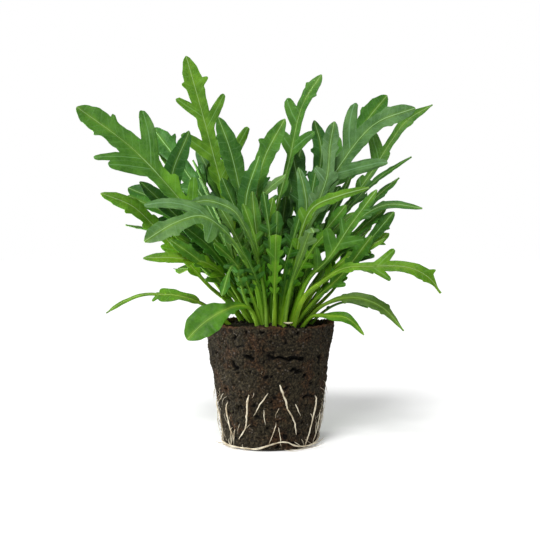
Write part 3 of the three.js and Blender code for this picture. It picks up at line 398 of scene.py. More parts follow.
        (44.9, 15.2, 148.2), (55.5, 19, 161.4), {"wing": 0.85, "lobes": [(0.5, 0.03, 1.1, 1.1), (0.62, 0.04, 2.4, 2),
        (0.86, 0.02, 1.15, 0.9)]}),
    ("top_centre_dark", "toothed", "dark", 4.6, (2.2, 5.1), (1, 0.2, 0), (8.4, 8.7, 75.9), (16, 11, 101.2),
        (22.6, 13, 122.9), (24.1, 14, 135.3), (20.8, 15, 149.1), {}),
    ("right_back_mid", "toothed", "dark", 5.2, (10, 5.6), (0.3, -0.9, -0.2), (17.3, 9, 62.9), (28.5, 16, 81.9),
        (44.2, 27, 105.4), (62.6, 34, 122.4), {}),
    ("right_thin", "toothed", "mid", 4.4, (10.3, 1.1), (0.2, -0.9, -0.2), (16.1, 2, 59.6), (27.8, 5, 75.6),
        (40.2, 9, 91.4), (54.8, 14, 109.3), {"lobes": [(0.45, 0.03, 1.2, 1.2), (0.58, 0.034, 1.8, 1.6),
        (0.72, 0.03, 2.2, 2.3), (0.87, 0.02, 1.1, 1.1)]}),
    ("right_back_low", "cut", "fresh", 3.6, (10.6, 9.3), (0.5, -0.7, -0.7), (19.2, 9, 58.7), (30.1, 12, 69.7),
        (40.8, 16, 84.7), (56.9, 20, 95.9), {"lobes": [(0.5, 0.03, 1.5, 1.3), (0.62, 0.036, 2.2, 1.5),
        (0.74, 0.036, 3.6, 1.7), (0.88, 0.024, 1.3, 1.5)]}),
    ("front_bright", "strap", "fresh", 2.3, (3.2, -12.4), (0.6, 0, -0.8), (10.9, -16.2, 80.1), (13.9, -22.4, 96.9),
        (18.7, -26.6, 106.8), (29.4, -29.8, 111.6), (41.9, -33, 114.9), {"stout": 1.35,
        "lobes": [(0.5, 0.03, 1.6, 1.2), (0.64, 0.03, 2.4, 1.3), (0.8, 0.02, 1.1, 1.2)]}),
    ("centre_left_level", "spoon", "grey", 2.8, (-1.2, -16), (-0.1, 0.4, 0.9), (-2.2, -17, 66.3), (-3.9, -20, 77.4),
        (-7, -22, 88.3), (-10.8, -24, 97), (-15.5, -26, 104.8), (-21, -28, 107.9), (-28.1, -31, 109.3),
        (-35.1, -34, 107.1), {"start": 0.42, "wing": 1, "endLobe": 0.66, "lobes": [(0.5, 0.04, 0.9, 0.9),
        (0.6, 0.04, 1.2, 1.1)]}),
    ("centre_young", "spoon", "mid", 3, (1.1, -9.5), (1, 0, 0), (-2, -13, 75), (-6, -17, 96), (-7.8, -19, 114),
        {"start": 0.42, "endLobe": 0.6, "lobes": [(0.52, 0.03, 0.5, 0.5)]}),
    ("back_centre_low", "cut", "mid", 6.3, (1.1, 15.8), (1, 0, 0), (0.5, 26, 80), (2, 42, 98), (3, 57, 106), {}),
    ("back_left_low", "cut", "fresh", 6.2, (-6.3, 9.2), (0.7, 0.7, 0), (-20, 20, 70), (-34, 34, 80), (-46, 46, 76),
        {}),
    ("back_low_left", "toothed", "mid", 5.8, (-1.1, 13.4), (1, 0.3, 0), (-8, 26, 72), (-14, 44, 82), (-18, 60, 76),
        {}),
    ("back_low_right", "cut", "fresh", 6, (2.5, 13.4), (1, -0.4, 0), (9, 26, 70), (16, 44, 80), (24, 60, 78), {}),
    ("back_right_low", "toothed", "mid", 6, (8.1, 11.3), (0.65, -0.75, 0), (22, 20, 70), (38, 34, 80), (52, 46, 76),
        {}),
    ("back_left_mid", "cut", "dark", 6.6, (-4.2, 5.2), (0.3, 0.6, 0.7), (-22, 14, 82), (-43, 23, 106), (-69, 29, 118),
        {}),
    ("back_mid", "cut", "mid", 7, (-0.1, 9.9), (1, 0.1, 0), (-5, 20, 86), (-9, 38, 112), (-12, 52, 128), {}),
    ("back_right_mid", "cut", "dark", 6.6, (5.9, 13.6), (0.9, -0.4, 0), (12, 20, 86), (22, 36, 110), (32, 48, 126),
        {}),
    ("back_left_upright", "cut", "mid", 6.2, (-3.1, 9), (1, 0.3, 0.3), (-11, 15, 92), (-17, 25, 123), (-24, 31, 146),
        {}),
    ("back_upright", "toothed", "dark", 5.2, (2.6, 8.2), (1, 0, 0), (5, 15, 92), (10, 22, 116), (15, 26, 137), {}),
    ("back_right_upright", "cut", "mid", 6, (5.2, 10.2), (0.9, -0.3, -0.2), (15, 14, 92), (25, 23, 122), (33, 27, 143),
        {}),
    ("back_left_spread", "toothed", "fresh", 5.8, (-4.2, 13.8), (0.8, 0.5, 0), (-18, 25, 78), (-30, 40, 97),
        (-40, 52, 106), {}),
    ("back_right_spread", "toothed", "fresh", 5.8, (8.9, 14.8), (0.85, -0.5, 0), (18, 25, 78), (32, 39, 98),
        (44, 52, 107), {}),
]


def leafEntry(form, tone, wide, foot, across, *rib, **own):
    return {"form": form, "tone": tone, "wide": wide, "foot": foot, "across": across, "rib": rib, **own}


leafBed = {"leaf_" + name: leafEntry(*row, **own) for name, *row, own in leafRows}

leafMesh = {  # millimetres, but for counts and shares
    "footHeight": 46.5, "pathSteps": 160, "tangentReach": 4, "outlineSteps": 2400, "mapSpan": 200, "endPeak": 0.4,
    "stalkHalfWidth": 1.25, "ribTipHalfWidth": 0.3, "stalkHalfDepth": 1.05, "ribTipHalfDepth": 0.42,
    "bladeHalf": 0.24, "edgeHalf": 0.13, "quiltDepth": 0.18, "veinPitch": 4.4, "ruffle": 0.045, "frill": 0.4,
    "buckle": 0.42, "columns": 8, "rowLength": 1.8, "turnLength": 1.6, "leastRows": 60, "mostRows": 135,
}
leafHabit = {  # the least of each, and how much more a draw may add
    "fold": (0.12, 0.16), "curl": (0.006, 0.006), "waveHeight": (0.5, 0.5), "waveLength": (20, 10),
    "wavePhase": (0, 6.28),
}
leafColour = {  # heights and radii in millimetres: green deepens down the clump; the heart of the clump is darkened with painted shade, and the stalks get painted light and shade
    "lowTint": (1.1, 1.1, 0.6), "highTint": (1.14, 1.15, 1.3), "highFrom": 65, "highOver": 60,
    "heartShade": (0.42, 0.60, 0.07), "heartX": 2, "crownRadius": 14, "crownHeight": 52, "fanSlope": 0.75,
    "fanHeight": 60, "heartTop": 112, "heartFade": 40, "paintedStalkShading": 0.92,
}

leafTones = {  # blade and stalk, as linear colours
    "fresh": ((0.074, 0.196, 0.009), (0.110, 0.215, 0.016)),
    "mid": ((0.042, 0.132, 0.011), (0.090, 0.190, 0.016)),
    "dark": ((0.024, 0.088, 0.010), (0.064, 0.150, 0.014)),
    "grey": ((0.064, 0.142, 0.036), (0.096, 0.195, 0.026)),
}
leafShades = {  # how bright single leaves are beside the others of their tone; leaf_left_low_long is darkened with painted shade against the low lamp that lights it
    "leaf_left_longest": 0.84, "leaf_right_level": 0.78, "leaf_upper_right": 0.80, "leaf_upper_right_front": 0.82,
    "leaf_left_low_long": 0.76, "leaf_front_bright": 0.84, "leaf_top_left": 0.95, "leaf_centre_young": 0.8,
    "leaf_front_small": 0.9,
}
paintedStalkLight = {  # how bright the feet of single stalks are: painted light on the front stalks, which the light reaches
    "leaf_front_left_arching": 1.3, "leaf_front_bright": 1.35, "leaf_front_right_lobed": 1.3, "leaf_right_level": 1.15,
}
leafTouchesAndGlow = {  # parts of single leaves with another colour: a pale tip, and painted light, a glow of light shining through the lower lobes of leaf_left_longest; from share, to share, side, colour, strength
    # painted light: the glow of light through this leaf's lower lobes
    "leaf_left_longest": (0.42, 0.64, 1, (0.085, 0.225, 0.01), 0.7),
    "leaf_centre_dark": (0.93, 1.0, 0, (0.16, 0.29, 0.12), 0.8),
}


def drawsFrom(seed):  # repeatable numbers from 0 to 1, the same that the solids are drawn with
    state = seed
    while True:
        state = (state * 16807) % 2147483647
        yield state / 2147483647


def leafShape(name, index):
    leaf = {**leafForms[leafBed[name]["form"]], **leafBed[name]}
    draws = drawsFrom(1000 + 37 * index)
    jitter = 0 if "lobes" in leafBed[name] else 1
    lobes = []
    for place, half, left, right in leaf["lobes"]:
        shift = 0.016 * jitter * (next(draws) - 0.5)
        half *= 1 + 0.1 * jitter * (2 * next(draws) - 1)
        left *= 1 + 0.12 * jitter * (2 * next(draws) - 1)
        right *= 1 + 0.12 * jitter * (2 * next(draws) - 1)
        lobes.append((place + shift, half, left, right))
    leaf["lobes"] = lobes
    for key, (least, more) in leafHabit.items():
        leaf[key] = least + more * next(draws)
    last, reach = leafMesh["pathSteps"], leafMesh["tangentReach"]
    leaf["path"], leaf["length"] = evenPath([(*leaf["foot"], leafMesh["footHeight"]), *leaf["rib"]], last)
    steps = np.arange(last + 1)
    tangents = leaf["path"][np.minimum(last, steps + reach)] - leaf["path"][np.maximum(0, steps - reach)]
    leaf["tangents"] = tangents / np.linalg.norm(tangents, axis=1)[:, None]
    return leaf


def sweepOf(leaf, side):  # how far forward the side ribs lean, which may be a pair for left and right
    sweep = leaf["sweep"]
    return np.where(side > 0, sweep[1], sweep[0]) if isinstance(sweep, tuple) else sweep


def stalkHalf(leaf, share):
    return leaf.get("stout", 1) * blendOf(leafMesh["stalkHalfWidth"], leafMesh["ribTipHalfWidth"], share ** 0.8)


def reachAt(leaf, share, side):  # how far the blade reaches along the side rib that starts at a share of the length
    end = (share - leaf["endLobe"]) / (1 - leaf["endLobe"])
    peak = leafMesh["endPeak"]
    rising = (1 - np.clip((peak - end) / peak, 0, 1) ** 2) ** 0.9
    falling = (1 - np.clip((end - peak) / (1 - peak), 0, 1) ** 2.2) ** leaf.get("taper", 0.62)
    endLobe = leaf["wide"] * np.where(end <= 0, 0, np.where(end < peak, rising, falling))
    grown = np.clip((share - leaf["start"]) / (leaf["endLobe"] - leaf["start"]), 0, 1)
    wing = leaf["wide"] * leaf["wing"] * grown ** 0.8 * (1 - smooth(end))
    total = stalkHalf(leaf, share) ** 5 + wing ** 5 + endLobe ** 5
    for place, half, left, right in leaf["lobes"]:
        x = (share - place) / half
        reach = leaf["wide"] * (right if side > 0 else left)
        root = half * leaf["length"]
        squared = sweepOf(leaf, side) * root * min(1, max(0, (reach / root - 1) / 2))
        finger = (1 - np.minimum(np.abs(x), 1) ** 3.2) ** 0.5
        total = total + ((reach - squared * x) * finger) ** 5 + (reach * 0.3 * np.exp(-x * x / 2)) ** 5
    return total ** 0.2


def flatPlace(leaf, share, side, reach):  # the place in the flat leaf, along and out, of a point on a side rib
    rise = smooth((share - leaf["start"]) / 0.1)
    fade = 1 - 0.85 * smooth((share - leaf["endLobe"] - 0.08) / (0.92 - leaf["endLobe"]))
    forward = sweepOf(leaf, side) * rise * fade
    return share * leaf["length"] + reach * forward, side * reach * np.sqrt(1 - forward * forward)


def rowShares(leaf, mostRows):  # rows of the mesh, closer together where the outline is long or turns
    share = np.linspace(0, 1, leafMesh["outlineSteps"] + 1)
    travel = np.zeros(leafMesh["outlineSteps"])
    for side in (-1, 1):
        along, out = flatPlace(leaf, share, side, reachAt(leaf, share, side))
        step = np.stack([np.diff(along), np.diff(out)], 1)
        bend = np.abs(np.diff(np.unwrap(np.arctan2(step[:, 1], step[:, 0])), prepend=0))
        bend[0] = 0
        travel += 0.5 * np.linalg.norm(step, axis=1) + 0.5 * leafMesh["turnLength"] * bend
    blade = smooth((share[1:] - leaf["start"]) / 0.08)
    gone = np.concatenate([[0], np.cumsum(travel * blendOf(0.45, 1, blade))])
    rows = int(min(max(gone[-1] / leafMesh["rowLength"], leafMesh["leastRows"]), mostRows))
    shares = np.interp(np.linspace(0, gone[-1], rows + 1), gone, share)
    for place, *_ in leaf["lobes"]:  # a row runs up the middle of each lobe, for its vein
        nearest = 1 + np.argmin(np.abs(shares[1:-1] - place))
        shares[nearest] = place
    return np.sort(shares)


def ontoLeaf(leaf, along, out, frill=0):  # the bent leaf's point for a place in the flat leaf
    place = np.clip(along / leaf["length"], 0, 1) * leafMesh["pathSteps"]
    i = np.minimum(leafMesh["pathSteps"] - 1, place.astype(int))
    t = (place - i)[:, None]
    point = blendOf(leaf["path"][i], leaf["path"][i + 1], t)
    tangent = blendOf(leaf["tangents"][i], leaf["tangents"][i + 1], t)
    tangent /= np.linalg.norm(tangent, axis=1)[:, None]
    point = point + tangent * np.maximum(0, along - leaf["length"])[:, None]
    across = np.array(leaf["across"], float)
    right = across - tangent * (tangent @ across)[:, None]
    right /= np.linalg.norm(right, axis=1)[:, None]
    up = np.cross(right, tangent)
    width = np.abs(out)
    turn = 2 * np.pi * along / leaf["waveLength"] + leaf["wavePhase"] + np.where(out > 0, 1.1, 0)
    wave = leaf["waveHeight"] * (width / 10) ** 1.5 * np.sin(turn)
    lift = leaf["fold"] * width - leaf["curl"] * width ** 2 + wave
    quilt = leafMesh["quiltDepth"] * np.sin(2 * np.pi * along / leafMesh["veinPitch"]) * smooth((width - 1) / 3)
    slant, cross = np.sin(0.5 * along + 0.9 * out + leaf["wavePhase"]), np.sin(0.8 * out - 0.27 * along)
    buckle = leafMesh["buckle"] * slant * cross * smooth((width - 1) / 4)
    return point + right * out[:, None] + up * (lift + quilt + buckle + frill)[:, None]


def depthOf(leaf, share, rib, distance, outward):  # half the thickness of stalk, rib and blade
    depths = leafMesh["stalkHalfDepth"], leafMesh["ribTipHalfDepth"]
    ribHalf = leaf.get("stout", 1) * blendOf(*depths, np.sqrt(share))
    ribPart = ribHalf * np.sqrt(np.clip(1 - (distance / rib) ** 2, 0, 1))
    bladePart = blendOf(leafMesh["bladeHalf"], leafMesh["edgeHalf"], outward ** 3)
    return (ribPart ** 3 + bladePart ** 3) ** (1 / 3)


def tintOf(name, index, leaf, share, side, places, bladeShare):
    look = leafColour
    x, y, z = places.T
    blade, stalk = (np.array(colour) for colour in leafTones[leaf["tone"]])
    # the stalks: painted light brightens the front ones; the rest are darkened, partly to their own deeper colour,
    # partly as painted shade
    upTheBlade = smooth((share - leaf["start"]) / 0.2)
    paintedStalkShading = blendOf(paintedStalkLight.get(name, look["paintedStalkShading"]), look["paintedStalkShading"], upTheBlade)
    dice = random.Random(index)
    blade = blade * dice.uniform(0.9, 1.1) * np.array([dice.uniform(0.88, 1.12), 1, dice.uniform(0.85, 1.15)])
    tint = blendOf(stalk * paintedStalkShading[:, None], blade, bladeShare[:, None])
    high = smooth((z - look["highFrom"]) / look["highOver"])
    tint = tint * blendOf(np.array(look["lowTint"]), np.array(look["highTint"]), high[:, None])
    # painted shade: the heart of the clump darkens, most near its axis and low down
    fan = look["crownRadius"] + look["fanSlope"] * np.clip(z - look["crownHeight"], 0, look["fanHeight"])
    inside = smooth((1 - np.hypot(x - look["heartX"], y) / fan) / 0.5)
    inside = inside * smooth((look["heartTop"] - z) / look["heartFade"])
    tint = tint * blendOf(1, np.array(look["heartShade"]), inside[:, None]) * leafShades.get(name, 1)
    # patches of another colour, among them a painted glow of light through a leaf
    if name in leafTouchesAndGlow:
        low, high, where, colour, strength = leafTouchesAndGlow[name]
        there = smooth((share - low) / 0.03) * smooth((high + 0.03 - share) / 0.03) * strength
        there = there * (side * where >= 0) * bladeShare
        tint = blendOf(tint, np.array(colour), there[:, None])
    return tint


def setLeafData(piece, leaf, share, side, rib, distance, tint, bladeShare):  # what the leaf's materials read
    colours = piece.data.color_attributes.new("tint", "FLOAT_COLOR", "POINT")
    colours.data.foreach_set("color", np.concatenate([tint, np.ones((len(tint), 1))], 1).astype(np.float32).ravel())
    nearest = np.full(len(share), 6.0)
    for place, _, left, right in leaf["lobes"]:
        strong = np.where(side > 0, right, left) > 1.5
        nearest = np.where(strong, np.minimum(nearest, np.abs(share - place) * leaf["length"]), nearest)
    setAttribute(piece, "ribLine", np.minimum(4, distance / (0.42 * rib + 0.06)))
    setAttribute(piece, "lobeVein", nearest)
    setAttribute(piece, "bladeShare", bladeShare)
    uvLayer = piece.data.uv_layers.new(name="leafMap")
    corners = np.empty(len(piece.data.loops), np.int32)
    piece.data.loops.foreach_get("vertex_index", corners)
    span = leafMesh["mapSpan"]
    flat = np.stack([0.5 + distance * side / span, share * leaf["length"] / span], 1)
    uvLayer.data.foreach_set("uv", flat[corners].astype(np.float32).ravel())


def thicken(piece, depth):  # the sheet becomes a body, as thick as its depth says, with the underside's material below
    group = piece.vertex_groups.new(name="depth")
    for i, value in enumerate(depth / depth.max()):
        group.add([i], float(value), "REPLACE")
    bpy.ops.object.modifier_add(type="SOLIDIFY")
    sheet = piece.modifiers[-1]
    sheet.thickness = 2 * depth.max() * mm
    sheet.offset = 0
    sheet.vertex_group = "depth"
    sheet.material_offset = 1
    bpy.ops.object.modifier_apply(modifier=sheet.name)
    piece.vertex_groups.clear()
    bpy.ops.object.shade_smooth_by_angle(angle=math.radians(70))


def buildLeaf(name, index, mesh=leafMesh):
    leaf = leafShape(name, index)
    shares = rowShares(leaf, mesh["mostRows"])
    half = mesh["columns"]
    piece, column, row = gridPiece(name.replace("leaf_", "blade_"), 2 * half, len(shares) - 1)
    share = shares[row]
    side = np.where(column < half, -1, 1)
    reach = np.where(side < 0, reachAt(leaf, shares, -1)[row], reachAt(leaf, shares, 1)[row])
    ruffle = np.sin(0.9 * share * leaf["length"] + 2.1 * side + index) * smooth((share - leaf["start"]) / 0.1)
    reach = reach + leafMesh["ruffle"] * np.minimum(reach, 4) * ruffle
    rib = stalkHalf(leaf, share)
    spread = smooth((reach / rib - 1) / 4)
    t = np.abs(column - half) / half
    outward = blendOf(np.sin(0.5 * np.pi * t), t ** 1.7, spread)
    along, out = flatPlace(leaf, share, side, reach * outward)
    frill = leafMesh["frill"] * np.sin(0.72 * along + 1.7 * side + index) * outward ** 4 * smooth((reach - 3) / 5)
    places = ontoLeaf(leaf, along, out, frill)
    setPlaces(piece, places)

    distance = outward * reach
    bladeShare = smooth((share - leaf["start"]) / 0.14) * smooth((distance - 0.4 * rib) / 1.2)
    tint = tintOf(name, index, leaf, share, side, places, bladeShare)
    setLeafData(piece, leaf, share, side, rib, distance, tint, bladeShare)
    for material in leafMaterials[leaf["tone"]]:
        piece.data.materials.append(material)
    thicken(piece, depthOf(leaf, share, rib, distance, outward))
    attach(piece, "root")
    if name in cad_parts:
        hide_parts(name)
    return len(piece.data.polygons)


leafLook = {  # noise scales per metre, or per leaf map; ranges are from and to; strengths are shares
    "wanderScale": 45, "wander": 3.2, "netScale": 130, "clouds": (125, 6, 0.66), "cloudRange": (0.34, 0.66),
    "grainScale": 1100, "lobeStrength": 0.32, "sideStrength": 0.13, "netStrength": 0.06,
    "ribFrom": 10, "ribTo": 60, "ribStrength": (0.5, 0.85), "paleFrom": 20, "paleTo": 75,  # millimetres up the leaf
    # on the stalk the pale rib is partly its own colour and partly a painted highlight along its middle
    "deep": (0.64, 0.74, 0.60), "light": (1.42, 1.30, 1.36), "under": (1.5, 1.32, 2.0), "stalkRibAndHighlight": (1.9, 1.6, 2.0),
    "bladeVein": (2.6, 2.3, 6.0), "veinColour": (0.27, 0.45, 0.22),
}


def leafMaterial(name, roughness, under):
    look = leafLook
    material, tree, shader = newMaterial(name, roughness)
    coordinates = objectPlaces(tree)
    sheetPlace = addNode(tree, "ShaderNodeUVMap", uv_map="leafMap").outputs["UV"]
    tint = attributeOf(tree, "tint", "Color")

    wander = addNode(tree, "ShaderNodeTexNoise", {"Scale": look["wanderScale"], "Detail": 2})
    joinTo(tree, sheetPlace, wander.inputs["Vector"])
    drift = times(tree, maths(tree, "SUBTRACT", wander.outputs[0], 0.5), look["wander"])
    upTheLeaf = times(tree, partsOf(tree, sheetPlace)[1], leafMesh["mapSpan"])
    alongRib = maths(tree, "ADD", upTheLeaf, drift)
    sideVein = ranged(tree, maths(tree, "PINGPONG", alongRib, leafMesh["veinPitch"] / 2), 0.42, 0.08)
    net = addNode(tree, "ShaderNodeTexVoronoi", {"Scale": look["netScale"]}, feature="DISTANCE_TO_EDGE")
    joinTo(tree, sheetPlace, net.inputs["Vector"])
    fineVein = ranged(tree, net.outputs["Distance"], 0.10, 0.02)
    rib = ranged(tree, attributeOf(tree, "ribLine"), 1.25, 0.7)
    branches = times(tree, ranged(tree, attributeOf(tree, "lobeVein"), 0.5, 0.12), look["lobeStrength"])
    for vein, strength in ((sideVein, look["sideStrength"]), (fineVein, look["netStrength"])):
        branches = maths(tree, "MAXIMUM", branches, times(tree, vein, strength))
    branches = times(tree, branches, attributeOf(tree, "bladeShare"))
    ribShare = ranged(tree, upTheLeaf, look["ribFrom"], look["ribTo"], look["ribStrength"])  # paler up the blade
    veins = maths(tree, "MAXIMUM", times(tree, rib, ribShare), branches)

    clouds = noiseOf(tree, coordinates, *look["clouds"])
    grain = noiseOf(tree, coordinates, look["grainScale"], 3)
    deep, light, paleUnder, stalkRibAndHighlight, bladeVein = (
        tinted(tree, tint, look[key]) for key in ("deep", "light", "under", "stalkRibAndHighlight", "bladeVein"))
    skin = mixed(tree, ranged(tree, clouds, *look["cloudRange"]), deep, light)
    skin = mixed(tree, ranged(tree, grain, 0.35, 0.75, (0, 0.22)), skin, light)
    if under:
        skin = mixed(tree, 0.6, skin, paleUnder)
    bladeVein = mixed(tree, 0.6, bladeVein, look["veinColour"])
    # on the stalk the pale rib is partly its own colour and partly a painted highlight
    paleVein = mixed(tree, ranged(tree, upTheLeaf, look["paleFrom"], look["paleTo"]), stalkRibAndHighlight, bladeVein)
    joinTo(tree, mixed(tree, veins, skin, paleVein), shader.inputs["Base Color"])
    joinTo(tree, ranged(tree, grain, 0.3, 0.7, (roughness - 0.07, roughness + 0.08)), shader.inputs["Roughness"])
    shader.inputs["Specular IOR Level"].default_value = 0.12
    shader.inputs["Subsurface Weight"].default_value = 0.12
    shader.inputs["Subsurface Radius"].default_value = (0.35, 0.8, 0.12)
    shader.inputs["Subsurface Scale"].default_value = 0.001
    relief = maths(tree, "ADD", times(tree, veins, 0.8 if under else -0.6), times(tree, grain, 0.35))
    bumped(tree, shader, relief, 0.00018, 0.5)
    return material


leafMaterials = {}
for tone in leafTones:
    upper = leafMaterial("leafUpper" + tone.capitalize(), 0.46, False)
    leafMaterials[tone] = (upper, leafMaterial("leafUnder" + tone.capitalize(), 0.6, True))
leafFaces = sum(buildLeaf(name, index) for index, name in enumerate(leafBed))
print("leaves:", len(leafBed), "with", leafFaces, "faces")


